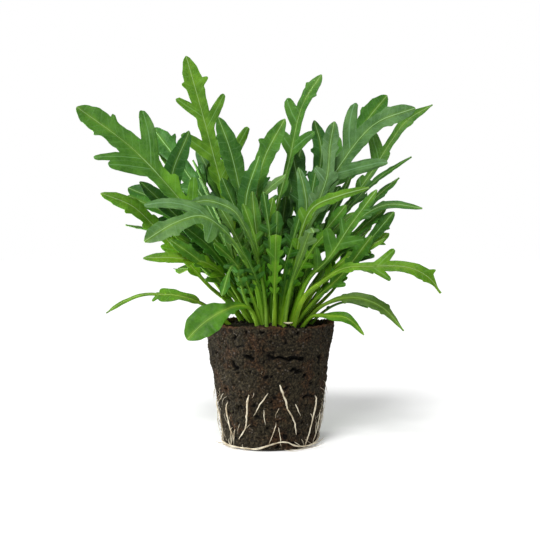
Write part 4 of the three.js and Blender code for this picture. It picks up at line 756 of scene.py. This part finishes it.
# Young leaves that fill the heart of the clump, too many and too fine for the solids
youngBed = [  # form, tone, half width, foot, across, then three points of the midrib
    ("toothed", "fresh", 4.2, (-1.8, 6.6), (1, 0.4, 0), (-14.1, 12, 81), (-31.2, 22, 112), (-54.5, 28, 136.6)),
    ("toothed", "grey", 4.4, (-1.2, 7.7), (1, 0.2, 0), (-10.8, 12, 78.7), (-21.4, 18, 109.4), (-35.1, 22, 137)),
    ("cut", "mid", 4.2, (-0.6, 6.6), (1, 0.1, 0), (-9.4, 10, 76.4), (-17.9, 14, 102.2), (-28.9, 16, 129.3)),
    ("toothed", "fresh", 4.4, (0, 8.8), (1, -0.2, 0), (-7.1, 12, 76.3), (-11.9, 18, 96.6), (-18.7, 22, 113.4)),
    ("jagged", "dark", 3.2, (-0.6, -5.5), (1, 0.3, 0), (-7.7, -3, 73.6), (-12.4, 0, 97.3), (-22, 0, 121.1)),
    ("cut", "dark", 4.6, (1.2, 5.5), (1, -0.1, 0), (-1.4, 7, 78.8), (-2.3, 10, 104.5), (-6.1, 12, 128)),
    ("jagged", "grey", 2.6, (0.6, -8.8), (0.7, -0.6, -0.5), (-1.8, -8, 81.5), (-3.6, -8, 110.7), (7.2, -7, 122)),
    ("jagged", "dark", 3, (1.8, 7.7), (1, 0.2, 0), (2.8, 8, 76.4), (5.1, 10, 96.5), (7.5, 12, 113.4)),
    ("toothed", "dark", 4.6, (3, 3.3), (1, 0.2, 0), (10.2, 5, 79.8), (14.5, 8, 107.7), (9.8, 9, 135.7)),
    ("jagged", "fresh", 2.6, (1.2, -9.9), (1, 0.1, 0), (-0.9, -9, 70.3), (-2.2, -10, 92.7), (1.3, -9, 111.6)),
    ("jagged", "dark", 3, (2.1, -11), (1, 0.1, 0), (3.1, -11, 70.4), (2.7, -12, 88.3), (3.1, -13, 105.6)),
    ("jagged", "dark", 3, (3.6, -4.4), (1, -0.2, 0), (13.2, -4, 76.8), (16.8, -3, 100.9), (21.4, -2, 126.5)),
    ("strap", "dark", 2, (5.4, -3.3), (0.8, -0.4, -0.2), (16.3, -4, 74.6), (25.4, -4, 98.2), (37.1, -5, 122.6)),
    ("cut", "dark", 4.2, (6, -4.4), (0.6, -0.6, -0.4), (25.3, -6, 70.1), (41.3, -9, 88.2), (55.3, -12, 105.2)),
    ("toothed", "mid", 3.6, (6, -7.7), (0.7, -0.5, -0.5), (19.7, -10, 65.4), (31.6, -13, 76.7), (45.1, -16, 94.5)),
    ("jagged", "mid", 2.8, (4.8, -8.8), (0.9, -0.2, -0.4), (13.9, -10, 72.6), (21.3, -14, 91.8), (33.5, -17, 108.1)),
    ("jagged", "dark", 3, (3.6, -9.9), (1, -0.2, -0.1), (10.7, -11, 72.6), (14.2, -14, 90.5), (23.5, -15, 107.8)),
    ("jagged", "dark", 2.4, (-1.8, -13.2), (-0.8, 0.4, 0.3), (-10.6, -17, 66.3), (-16, -24, 81.4), (-20.7, -27, 68.6)),
    ("jagged", "dark", 2.6, (0, -12.1), (1, -0.3, 0), (-3.5, -16, 68.4), (-7.8, -22, 80.5), (-12.5, -25, 89.7)),
    ("cut", "fresh", 2.6, (1.2, -13.2), (1, 0, 0), (-1.8, -14, 63.9), (-3.1, -16, 75), (-4.9, -16, 85.6)),
    ("cut", "mid", 2.6, (3, -13.2), (1, 0, 0), (5.8, -14, 65.2), (7.5, -16, 75), (10.1, -17, 84.8)),
    ("toothed", "mid", 3.4, (-2.4, -8.8), (0.5, 0.5, 0.7), (-16.9, -12, 68.2), (-30.9, -16, 83), (-44, -18, 92.7)),
    ("toothed", "dark", 4, (-2.4, -4.4), (0.6, 0.5, 0.5), (-14.9, -6, 72.4), (-26.1, -8, 88.2), (-39.5, -9, 99.5)),
    ("cut", "mid", 3.4, (6, 2.2), (0.5, -0.6, -0.5), (21.9, -2, 74.5), (37.1, -6, 93.6), (52.2, -8, 107.1)),
    ("toothed", "fresh", 2.8, (6.6, -5.5), (0.3, -0.5, -0.8), (18.9, -7, 67.9), (33.7, -9, 83.7), (51.4, -11, 93.6)),
    ("strap", "mid", 2.4, (6.6, 0), (0.4, -0.8, -0.3), (22, 0, 75.3), (37.6, 1, 101), (59.3, 2, 121.3)),
    ("toothed", "grey", 4, (4.8, 2.2), (0.9, -0.3, -0.2), (16.1, 2, 81.2), (23.9, 2, 108.8), (34.9, 1, 135)),
    ("toothed", "dark", 4.4, (-3.6, -2.2), (0.6, 0.5, 0.6), (-19.1, -3, 76.8), (-36.3, -4, 97.3), (-59, -4, 119.1)),
    ("cut", "mid", 4.2, (-3, 5.5), (0.5, 0.6, 0.6), (-21, 8, 78.8), (-42.3, 12, 101.2), (-67.2, 15, 113.6)),
    ("jagged", "mid", 2.6, (0, -9.9), (0.8, 0.6, 0.1), (-4, -15, 74.1), (-6.6, -20, 92.7), (-11.8, -22, 108.4)),
    ("jagged", "dark", 2.6, (3.6, -11), (0.8, -0.6, -0.1), (5.8, -15, 75), (10.1, -18, 91.8), (14.4, -20, 106.7)),
    ("jagged", "grey", 2.4, (-1.2, -9.9), (0.9, 0.3, 0.2), (-8, -14, 77.2), (-15, -17, 94.5), (-22.4, -18, 107.7)),
    ("jagged", "fresh", 2.3, (4.2, -9.9), (0.8, -0.3, -0.3), (10.6, -15, 73.2), (18.4, -19, 88.3), (26.2, -21, 97.5)),
    ("jagged", "dark", 2.6, (1.2, -9.9), (0.8, 0.6, 0), (0, -15, 77.2), (-0.4, -18, 94.9), (-3.1, -17, 113.9)),
    ("jagged", "mid", 2.4, (-1.2, -12.1), (0.8, 0.4, 0.3), (-8.8, -17, 69.8), (-15.7, -22, 83.1), (-24.3, -24, 91.4)),
    ("toothed", "mid", 5, (-1.2, 11), (1, 0.3, 0), (-8, 18, 88), (-15, 30, 112), (-21, 43, 128)),
    ("cut", "fresh", 5, (3, 12.1), (1, 0, 0), (5, 21, 85), (9, 34, 108), (14, 47, 121)),
    ("toothed", "dark", 5, (4.8, 11), (1, -0.4, 0), (12, 20, 88), (22, 30, 112), (33, 40, 132)),
    ("cut", "mid", 4.8, (-3, 9.9), (1, 0.6, 0), (-16, 17, 84), (-27, 27, 103), (-39, 36, 116)),
    ("toothed", "grey", 4.8, (1.2, 8.8), (1, 0.1, 0), (-3, 14, 84), (-6, 22, 99), (-7, 31, 111)),
    ("toothed", "mid", 4.6, (0, 15.4), (1, 0.1, 0), (-4, 28, 78), (-7, 42, 90), (-9, 56, 94)),
    ("cut", "mid", 4.6, (4.8, 15.4), (1, -0.3, 0), (12, 27, 76), (19, 40, 88), (27, 53, 92)),
    ("cut", "mid", 4.6, (-3.6, 2.2), (0, 1, 0.1), (-15, 5, 80), (-25, 8, 106), (-36, 10, 130)),
    ("toothed", "grey", 4.6, (-3.6, -2.2), (0, 1, -0.1), (-14, -6, 78), (-22, -12, 100), (-31, -17, 120)),
    ("cut", "dark", 4.4, (-3, 5.5), (0, 1, 0.2), (-12, 12, 82), (-19, 20, 108), (-27, 27, 128)),
    ("toothed", "fresh", 4.2, (-4.2, 0), (0.2, 1, 0.3), (-19, -1, 70), (-31, -3, 86), (-45, -5, 96)),
    ("cut", "mid", 4.4, (-3.6, 8.8), (0.3, 1, 0.4), (-19, 15, 72), (-33, 23, 88), (-47, 29, 98)),
    ("cut", "mid", 4.6, (6.6, 2.2), (0, -1, 0.1), (15, 5, 80), (24, 8, 104), (34, 10, 126)),
    ("toothed", "dark", 4.4, (6.6, -2.2), (0, -1, -0.1), (14, -6, 78), (22, -11, 99), (30, -15, 116)),
    ("cut", "grey", 4.6, (6, 6.6), (0, -1, 0.2), (13, 14, 82), (20, 22, 110), (28, 28, 132)),
    ("toothed", "fresh", 4.2, (7.2, 1.1), (-0.2, -1, -0.3), (20, 0, 70), (32, -1, 86), (46, -2, 98)),
    ("cut", "mid", 4.4, (6.6, 8.8), (-0.3, -1, -0.4), (20, 16, 72), (34, 25, 88), (47, 32, 98)),
]
youngMesh = {"columns": 5, "mostRows": 75}
youngFaces = 0
for i, row in enumerate(youngBed):
    name = f"leaf_young_{i + 1:02d}"
    leafBed[name] = leafEntry(*row)
    youngFaces += buildLeaf(name, 100 + i, youngMesh)
print("young leaves:", len(youngBed), "with", youngFaces, "faces")


# The pot: a tapering cup of pressed peat with a granular wall, pits, cracks and a ragged rim
peatPot = {
    "height": 55, "baseRadius": 21.6, "rimRadius": 29.6, "wall": 2.8, "floor": 3, "foot": 0.9,
    "around": 450, "wallRows": 175, "lump": 0.45, "grain": 0.62, "ragged": 0.8, "inset": 0.28,
    "underRadii": (1.5, 6, 12, 17, 19.5), "lipShares": (0.12, 0.3, 0.5, 0.7, 0.88), "floorRadii": (18, 10, 2),
    "innerHeights": (54.2, 53.4, 52.6, 51.6, 50, 40, 28, 16, 6, 3.6),
    "hollows": (  # degrees round from the front, height, half width and half height, depth, all in millimetres
        (0.5, 42.4, 1.5, 0.8, 1.6), (14, 41.7, 5.6, 0.55, 2.2), (24, 41.2, 3.8, 0.8, 2.0), (31, 40.8, 1.0, 0.8, 1.8),
        (-37.5, 38.6, 0.8, 1.5, 1.8), (-34, 36.6, 1.2, 0.9, 1.8), (-18.5, 41.6, 1.8, 0.8, 1.8),
        (-22.5, 42.6, 1.0, 0.6, 1.3), (53.2, 40.3, 1.1, 1.6, 2.0), (22.5, 36.3, 1.5, 0.7, 1.8),
        (27, 35.6, 1.4, 1.0, 1.8), (-4, 33.4, 1.1, 0.9, 1.6), (-31, 19.5, 1.1, 0.9, 1.2), (5, 23.5, 0.9, 0.8, 1.2),
        (42, 24, 2.4, 0.7, 1.2), (18, 6, 1.6, 1.2, 1.2), (-28, 46.5, 2.6, 0.5, 1.0), (16, 28, 1.6, 0.7, 1.0),
        (-14, 15, 1.3, 0.9, 1.0), (36, 33, 1.2, 0.8, 1.2), (112, 33, 2.6, 0.8, 1.8), (150, 22, 1.2, 1.3, 1.6),
        (196, 40, 4.5, 0.7, 2.0), (238, 30, 1.6, 1.1, 1.6), (250, 14, 2.2, 0.7, 1.4), (92, 12, 1.1, 1.3, 1.4),
        (168, 37, 1.4, 1.0, 1.6), (214, 18, 1.2, 1.1, 1.4),
    ),
}


def rimHeightAt(turn):
    return peatPot["height"] + 0.45 * np.sin(3 * turn + 1) + 0.35 * np.sin(7 * turn)


def plainRadius(z):
    return blendOf(peatPot["baseRadius"], peatPot["rimRadius"], z / peatPot["height"])


def outsideRadius(turn, z):
    lumps = 0.28 * np.sin(3 * turn + 0.11 * z) + 0.22 * np.sin(7 * turn - 0.23 * z + 1)
    lumps = lumps + 0.16 * np.sin(5 * turn + 0.37 * z + 2)
    return plainRadius(z) + lumps * smooth(z / 4)


def noiseAlong(places, size, shift=0):  # the same soft noise for many places, size in millimetres
    return np.array([noise.noise(Vector(place) / size + Vector((shift, 0, 0))) for place in places])


def crumbled(places):  # the rise and fall of pressed peat, in millimetres
    lumps = noiseAlong(places, 3.6) * peatPot["lump"]
    grains = noiseAlong(places, 1.35, 11) * peatPot["grain"] + noiseAlong(places, 0.72, 23) * 0.3
    return lumps + grains - 3.0 * np.maximum(0, noiseAlong(places, 1.9, 31) - 0.3)


def hollowsAt(turns, heights):
    depth = 0 * turns
    for degrees, height, wide, tall, deep in peatPot["hollows"]:
        around = (np.degrees(turns) + 90 - degrees + 180) % 360 - 180
        across = np.radians(around) * (peatPot["baseRadius"] + 5)
        bent = heights - height + 0.4 * np.sin(across * 1.1 + degrees)
        depth = depth + deep * np.exp(-((across / wide) ** 4) - (bent / tall) ** 4)
    return np.minimum(depth, 2.3)


def potTables():  # the pot's rings of places, and how deep each place lies in a hollow or dip, which the peat darkens with painted shade
    turns = np.arange(peatPot["around"]) * 2 * np.pi / peatPot["around"]
    rings, depths = [], []

    def ringAt(radii, heights):
        return np.stack([radii * np.cos(turns), radii * np.sin(turns), heights + 0 * turns], 1)

    def addRing(ring, depth=0 * turns):
        rings.append(ring)
        depths.append(depth)

    for radius in peatPot["underRadii"]:
        addRing(ringAt(radius, 0))
    tops = rimHeightAt(turns)
    tops = tops + peatPot["ragged"] * noiseAlong(ringAt(9, 0), 1) + 0.4 * noiseAlong(ringAt(26, 5), 1)
    for share in np.linspace(0, 1, peatPot["wallRows"] + 1) ** 0.96:
        heights = share * (tops - 0.3)
        corner = np.clip(1 - heights / 1.2, 0, 1)
        radii = outsideRadius(turns, heights) - peatPot["foot"] * (1 - np.sqrt(1 - corner ** 2))
        rise = crumbled(ringAt(radii, heights)) * np.minimum(1, heights / 1.5)
        sunk = hollowsAt(turns, heights)
        depth = np.clip(sunk / 1.1 + np.maximum(0, -rise - 0.25), 0, 1)
        addRing(ringAt(radii - peatPot["inset"] + rise - sunk, heights), depth)
    inside = plainRadius(54) - peatPot["wall"]
    for share in peatPot["lipShares"]:
        ring = ringAt(blendOf(outsideRadius(turns, tops), inside, share), tops - 0.3 * share)
        ring[:, 2] += 0.6 * noiseAlong(ring, 0.9, 3)
        addRing(ring)
    for height in peatPot["innerHeights"]:
        ring = ringAt(plainRadius(height) - peatPot["wall"], height)
        if height > 50:  # only what shows above the soil is rough
            ring = ringAt(plainRadius(height) - peatPot["wall"] + 0.4 * noiseAlong(ring, 1.4), height)
        addRing(ring)
    for radius in peatPot["floorRadii"]:
        addRing(ringAt(radius, peatPot["floor"]))
    return np.array(rings), np.array(depths)


def peatMaterial(name, darkness, warmth, rim=False):
    material, tree, shader = newMaterial(name, 0.95)
    coordinates = objectPlaces(tree)
    clouds = noiseOf(tree, coordinates, 130, 4)
    grains = noiseOf(tree, coordinates, 1050, 6, 0.72)
    colour = ramp(tree, grains, [
        (0.34, (0.003, 0.002, 0.001)), (0.46, (0.012, 0.0092, 0.0045)), (0.55, (0.034, 0.027, 0.014)),
        (0.65, (0.074, 0.060, 0.034)), (0.80, (0.160, 0.130, 0.080)),
    ])
    patches = ranged(tree, clouds, 0.46, 0.68, (0, warmth))
    colour = mixed(tree, patches, colour, tinted(tree, colour, (1.6, 0.94, 0.72)))
    chips = addNode(tree, "ShaderNodeTexVoronoi", {"Scale": 900})
    joinTo(tree, coordinates, chips.inputs["Vector"])
    shade = addNode(tree, "ShaderNodeSeparateColor")
    joinTo(tree, chips.outputs["Color"], shade.inputs[0])
    few, core = ranged(tree, shade.outputs[0], 0.90, 0.96), ranged(tree, chips.outputs["Distance"], 0.45, 0.25)
    colour = mixed(tree, times(tree, times(tree, few, core), 0.5), colour, (0.15, 0.13, 0.11))  # a few pale chips
    if rim:  # the reddish lip, its top edge lightened with painted light, and painted shade darkening the hollows and dips
        high = ranged(tree, partsOf(tree, coordinates)[2], 0.0538, 0.0550)
        reddishLitLip = times(tree, high, ranged(tree, clouds, 0.38, 0.56, (0.1, 0.9)))
        # painted light on the lit top edge of the lip, mixed with its own reddish colour
        colour = mixed(tree, reddishLitLip, colour, (0.088, 0.040, 0.016))
        # painted shade: the hollows and dips darkened nearly to black
        hollow = ranged(tree, attributeOf(tree, "hollow"), 0.1, 0.9, (0, 0.92))
        colour = mixed(tree, hollow, colour, (0.002, 0.0015, 0.001))
    colour = tinted(tree, colour, (darkness, darkness, darkness))
    joinTo(tree, colour, shader.inputs["Base Color"])
    shader.inputs["Specular IOR Level"].default_value = 0.18
    relief = maths(tree, "ADD", grains, times(tree, chips.outputs["Distance"], -0.5))
    bumped(tree, shader, relief, 0.0007, 1.0)
    return material


peat = peatMaterial("pressedPeat", 0.82, 0.85, rim=True)
# the hollow depths become painted shade in the peat
potPlaces, potShadeDepths = potTables()
pot = wrappedPiece("peatCup", potPlaces, hollow=potShadeDepths)
finishPiece(pot, [peat], "peat", "peat_pot")
print("pot:", len(pot.data.polygons), "faces")


# The soil: crumbly, heaped towards the crown, with loose crumbs and one pale husk on a small mound
soilBed = {
    "top": 52.7, "heap": 2.9, "around": 220, "rings": 60, "gap": 0.35, "mound": (8.0, -17.5, 0.6, 3.2),
    "crumbs": 620, "crumbReach": 25.3, "crumbSizes": (0.35, 0.5, 0.7, 1.0), "husk": (2.1, 0.75, 0.5), "huskBow": 0.35,
    "crumbSpans": ((0.7, 1.4), (0.7, 1.3), (0.5, 0.9)),
    "under": ((4, 3.3), (25, 3.2), (48, 3.15)),  # heights of the rings in the cup, and how far inside its surface
}


def soilHeights(x, y, share):
    places = np.stack([x, y, 0 * x], 1)
    rise = 0.9 * noiseAlong(places, 4.5) + 0.7 * noiseAlong(places, 1.7, 5) + 0.3 * noiseAlong(places, 0.8)
    moundX, moundY, moundHeight, moundWide = soilBed["mound"]
    mound = moundHeight * np.exp(-((x - moundX) ** 2 + (y - moundY) ** 2) / moundWide ** 2)
    heap = soilBed["heap"] * smooth((0.92 - share) / 0.5) - 1.1 * smooth((share - 0.78) / 0.2)
    return soilBed["top"] + heap + rise + mound


def soilTable():
    turns = np.arange(soilBed["around"]) * 2 * np.pi / soilBed["around"]
    rings = []
    sides = [(plainRadius(height) - inset, height) for height, inset in soilBed["under"]]
    for radius, height in [(2, 3.5), (17, 3.5), *sides]:
        rings.append(np.stack([radius * np.cos(turns), radius * np.sin(turns), 0 * turns + height], 1))
    edge = plainRadius(51) - peatPot["wall"] - soilBed["gap"]
    for share in np.linspace(1, 0.03, soilBed["rings"]):
        x, y = share * edge * np.cos(turns), share * edge * np.sin(turns)
        rings.append(np.stack([x, y, soilHeights(x, y, share)], 1))
    return np.array(rings)


soilCrumble = peatMaterial("pottingSoil", 0.5, 0.3)
soil = wrappedPiece("soilFill", soilTable())
finishPiece(soil, [soilCrumble], "soil", "soil")


def lumpsPiece(name, sizes, places):  # jittered lumps, one for each size and place in millimetres, in a single mesh
    clearSelection()
    bpy.ops.mesh.primitive_ico_sphere_add(subdivisions=1, radius=1)
    piece = bpy.context.object
    piece.name = name
    ball = np.array([vertex.co for vertex in piece.data.vertices], float)
    faces = np.array([polygon.vertices[:] for polygon in piece.data.polygons])
    corners = np.concatenate([faces + i * len(ball) for i in range(len(sizes))])
    lumps = []
    for size, place in zip(sizes, places):
        jitter = np.array([soilDice.uniform(0.7, 1.3) for _ in ball])[:, None]
        lumps.append(ball * jitter * np.array(size) + np.array(place))
    mesh = bpy.data.meshes.new(name)
    mesh.from_pydata((np.concatenate(lumps) * mm).tolist(), [], corners.tolist())
    piece.data = mesh
    return piece


soilDice = random.Random(5)
crumbSizes, crumbPlaces = [], []
for _ in range(soilBed["crumbs"]):
    size = soilDice.choice(soilBed["crumbSizes"])
    turn, share = soilDice.uniform(0, 2 * math.pi), math.sqrt(soilDice.random())
    x, y = (soilBed["crumbReach"] * share * part(turn) for part in (math.cos, math.sin))
    height = float(soilHeights(np.array([x]), np.array([y]), share)[0])
    crumbPlaces.append((x, y, height + 0.25 * size))
    crumbSizes.append([size * soilDice.uniform(*span) for span in soilBed["crumbSpans"]])
crumbs = lumpsPiece("soilCrumbs", crumbSizes, crumbPlaces)
finishPiece(crumbs, [soilCrumble], "soil")

clearSelection()
bpy.ops.mesh.primitive_uv_sphere_add(segments=20, ring_count=12, radius=1)
husk = bpy.context.object
husk.name = "paleHusk"
huskX, huskY = soilBed["mound"][:2]
huskTop = float(soilHeights(np.array([huskX]), np.array([huskY]), 0.5)[0]) + 0.3
ball = np.array([vertex.co for vertex in husk.data.vertices], float)
bow = soilBed["huskBow"] * ball[:, :1] ** 2 * np.array([0, 0, 1])
setPlaces(husk, ball * np.array(soilBed["husk"]) + bow + np.array([huskX, huskY, huskTop]))
bpy.ops.object.shade_smooth()
huskSkin, huskTree, huskShader = newMaterial("huskSkin", 0.6)
huskGrain = noiseOf(huskTree, objectPlaces(huskTree), 700)
huskColour = ramp(huskTree, huskGrain, [(0.35, (0.30, 0.27, 0.15)), (0.65, (0.55, 0.52, 0.34))])
joinTo(huskTree, huskColour, huskShader.inputs["Base Color"])
finishPiece(husk, [huskSkin], "soil")
print("soil:", len(soil.data.polygons) + len(crumbs.data.polygons), "faces, and a husk")


# Roots: they leave the wall, run down it and circle its foot. A run is its radius, then its points on the wall as
# (degrees round from the front, height), in millimetres, with a third number where it stands off the wall.
rootBed = {
    "root_front_left": [(0.42, (-21, 26), (-23, 21), (-24.5, 16), (-26.5, 10.5), (-38, 4.6)), (0.24, (-19, 12.8),
        (-26, 10.2))],
    "root_front_upper": [(0.27, (-1, 26.6), (-9, 21.7), (-17, 15.8))],
    "root_front_short": [(0.24, (-6.5, 19), (-6.1, 15.6), (-5.4, 12))],
    "root_front_long": [(0.46, (8.6, 30.5), (14, 25), (18.7, 18.8), (27, 12.5), (31.5, 6.8))],
    "root_front_right_short": [(0.26, (26, 22.2), (29.5, 18.6), (34.8, 15.2))],
    "root_front_slant": [(0.23, (10.8, 20.3), (7, 17.6), (5.3, 15.3))],
    "root_back_long": [(0.45, (176, 30), (182, 22), (180, 14), (186, 7))],
    "root_back_side": [(0.35, (128, 26), (133, 18), (130, 10))],
    "root_mat": [(0.38, (-51.9, 21.1), (-52, 16), (-50.4, 10), (-48, 5.6), (-52, 1.4)), (0.26, (-42, 9.5), (-46, 4),
        (-48, 1.6)), (0.4, (54.3, 24.1), (56, 18.5), (53.6, 12.9), (46, 1.2)), (0.26, (50, 16.6), (54, 12.4)), (0.3,
        (70, 16), (68, 9), (62, 1.6)), (0.24, (7.3, 13.2), (4, 9), (-1, 3.6)), (0.24, (8.7, 11.4), (11, 7),
        (12.5, 2.4)), (0.35, (-80, 21), (-76, 12), (-74, 2)), (0.35, (102, 22), (97, 12), (92, 3.2)), (0.35, (206, 24),
        (199, 13), (200, 1.2)), (0.2, (-47.5, 10.1), (-50.8, 5.9), (-54, 1.4)), (0.22, (49.5, 6.2), (45.2, 1.6)), (0.2,
        (40, 5), (43, 1.4))],
}
rootCircle = (
    (-75, 1.3), (-52, 0.9), (-30, 0.9), (-14, 1.1), (0, 3.1), (12, 4.2), (20, 3.8), (31, 1.9), (46, 1.1), (63, 1.2),
    (85, 2.8), (104, 3.6), (122, 1.5), (145, 2), (163, 4.2), (180, 3), (200, 1.1), (222, 3), (241, 4.2), (263, 2.2),
    (285, 1.3),
)
fineRoots = [
    (0.16, (-5.5, 36.7), (-7, 35.8), (-8.4, 34.5)), (0.2, (-14.7, 27.3), (-16, 26.2), (-17.1, 24.2)),
    (0.18, (-50.4, 12), (-48.6, 13.8), (-46.6, 15.3)), (0.14, (-20, 22.8), (-17.6, 22.9), (-16.4, 23.2)),
    (0.2, (-54.8, 25), (-61, 21.5, 0.2), (-71.7, 18.8, 0.3)), (0.16, (-50.9, 23.4), (-56, 21.6, 0.3), (-60.2, 19)),
    (0.2, (16.6, 0.5, 0.2), (22, 0.4, 1.6), (27.8, 0.4, 4.6)),
    (0.24, (-47, 0.9, 0.2), (-56, 0.8, 0.8), (-70, 1.2, 3.0)), (0.24, (52, 0.9, 0.1), (66, 1.2, 0.8), (90, 2.2, 2.8)),
    (0.16, (65.6, 26.7), (70, 25, 0.4), (80.9, 21.1, 0.3)), (0.16, (72, 30), (77, 26, 0.5), (84, 22.5, 1.0)),
    (0.18, (76, 17), (80, 10, 0.7), (79, 4, 0.3)), (0.16, (66, 12), (61, 8, 0.3), (66, 4)),
    (0.22, (-66, 18), (-72, 11, 0.6), (-74, 4, 0.4)), (0.14, (-80, 26), (-86, 22, 0.9), (-88, 18.5, 1.5)),
    (0.18, (-84, 17), (-83, 10, 1.0), (-74, 2, 0.7)), (0.14, (84, 15), (87, 11, 1.0), (92, 8, 1.6)),
    (0.14, (-33, 13), (-37, 9), (-38, 7)), (0.22, (-60, 0.8, 0.4), (-46, 0.5, 1.8), (-32, 0.4, 3.0)),
    (0.19, (-36, 2.6), (-30, 0.7, 1.0), (-22, 0.4, 2.4)),
    (0.23, (24, 0.5, 0.8), (38, 0.5, 1.8), (54, 0.9, 3.4), (62, 1.8, 5.5)),
    (0.18, (30, 3.8), (38, 1.4, 0.9), (50, 0.5, 1.6)), (0.13, (44, 4.5), (52, 2.2, 0.8), (60, 0.6, 1.4)),
    (0.14, (-58, 4.5), (-52, 2.0, 0.8), (-42, 0.6, 1.8)), (0.13, (-18, 1.2, 0.6), (-6, 2.6, 1.0), (6, 4.0, 0.5)),
    (0.18, (-66, 1.6), (-72, 1.0, 1.8), (-80, 1.4, 4.2)),
]
rootLooks = {  # hairs grow in bunches round the sides and back, at these degrees
    "gap": 0.12, "dive": 1.3, "ringRadius": 0.34, "hairs": 80, "hairRadius": 0.07, "hairSteps": 8,
    "bunches": (-80, 82, -66, 70, 120, 155, 190, 230),
}


def onWall(degrees, z, lift):
    turn = math.radians(degrees - 90)
    radius = float(outsideRadius(turn, z)) + rootLooks["gap"] + lift
    return radius * math.cos(turn), radius * math.sin(turn), z


def rootStrand(points, radius, closed=False):  # places and thicknesses along one root, in millimetres
    spread = [(0.4 * point[0], point[1], point[2] if len(point) > 2 else 0) for point in points]
    path, length = evenPath(spread, max(10, int(9 * len(points))))
    strand = []
    for i, (across, z, off) in enumerate(path):
        share = i / (len(path) - 1)
        start, stop = share * length, (1 - share) * length
        uneven = 1 + 0.45 * noise.noise(Vector((across, z, 7 * radius)) / 1.7)
        thick = radius * uneven
        if not closed:
            ends = [0.35 + 0.65 * min(1, gone / 3) for gone in (start, stop)]
            thick *= blendOf(1, 0.55, share) * ends[0] * ends[1]
        wobble = 0.35 * noise.noise(Vector((across, z, radius)) / 2.0)
        sink = 0 if closed else rootLooks["dive"] * (1 - min(1, start / 2.0)) ** 1.5
        strand.append((onWall((across + wobble) / 0.4, max(z, radius + 0.1), thick * 0.7 - sink + max(0, off)), thick))
    return strand


def tubesPiece(name, strands, sides=2):  # round tubes along strands of (place, radius), as one mesh
    clearSelection()
    bpy.ops.curve.primitive_nurbs_path_add()
    piece = bpy.context.object
    piece.name = name
    curve = piece.data
    curve.splines.clear()
    for strand, closed in strands:
        spline = curve.splines.new("POLY")
        spline.points.add(len(strand) - 1)
        for point, (place, radius) in zip(spline.points, strand):
            point.co = (*(Vector(place) * mm), 1)
            point.radius = radius * mm
        spline.use_cyclic_u = closed
    curve.bevel_depth = 1
    curve.bevel_resolution = sides
    curve.use_fill_caps = True
    bpy.ops.object.convert(target="MESH")
    piece = bpy.context.object
    bpy.ops.object.shade_smooth()
    return piece


def rootMaterial(name, light, dark):
    material, tree, shader = newMaterial(name, 0.55)
    coordinates = addNode(tree, "ShaderNodeTexCoord").outputs["Object"]
    stains = noiseOf(tree, coordinates, 210, 5)
    colour = mixed(tree, ranged(tree, stains, 0.40, 0.66), light, dark)
    joinTo(tree, colour, shader.inputs["Base Color"])
    bumped(tree, shader, noiseOf(tree, coordinates, 1600, 2), 0.0001, 0.4)
    return material


rootSkin = rootMaterial("rootSkin", (0.62, 0.56, 0.42), (0.33, 0.26, 0.16))
for name, runs in rootBed.items():
    strands = [(rootStrand(points, radius), False) for radius, *points in runs]
    if name == "root_mat":
        strands.append((rootStrand(rootCircle, rootLooks["ringRadius"], closed=True)[:-1], True))
    piece = tubesPiece(name.replace("root_", "strand_"), strands)
    finishPiece(piece, [rootSkin], "root", name)

rootDice = random.Random(11)
hairs = [(rootStrand(points, radius), False) for radius, *points in fineRoots]
for _ in range(rootLooks["hairs"]):
    degrees = rootDice.choice(rootLooks["bunches"]) + rootDice.gauss(0, 10)
    z = rootDice.uniform(5, 28)
    hair, lean = [], rootDice.uniform(-1.6, 1.6)
    length = rootDice.uniform(2.5, 8)
    for k in range(rootLooks["hairSteps"] + 1):
        share = k / rootLooks["hairSteps"]
        degrees += lean + rootDice.uniform(-0.8, 0.8)
        lift = 0.1 + 0.9 * math.sin(math.pi * share) * rootDice.uniform(0.2, 1.0) - 1.0 * (share < 0.1)
        place = onWall(degrees, max(0.6, z - length * share), lift)
        hair.append((place, rootLooks["hairRadius"] * blendOf(1, 0.45, share)))
    hairs.append((hair, False))
hairSkin = rootMaterial("rootHairSkin", (0.50, 0.45, 0.34), (0.28, 0.22, 0.14))
rootHairs = tubesPiece("rootHairs", hairs, 1)
finishPiece(rootHairs, [hairSkin], "root")
print("roots:", len(rootBed), "with", len(hairs), "finer ones")
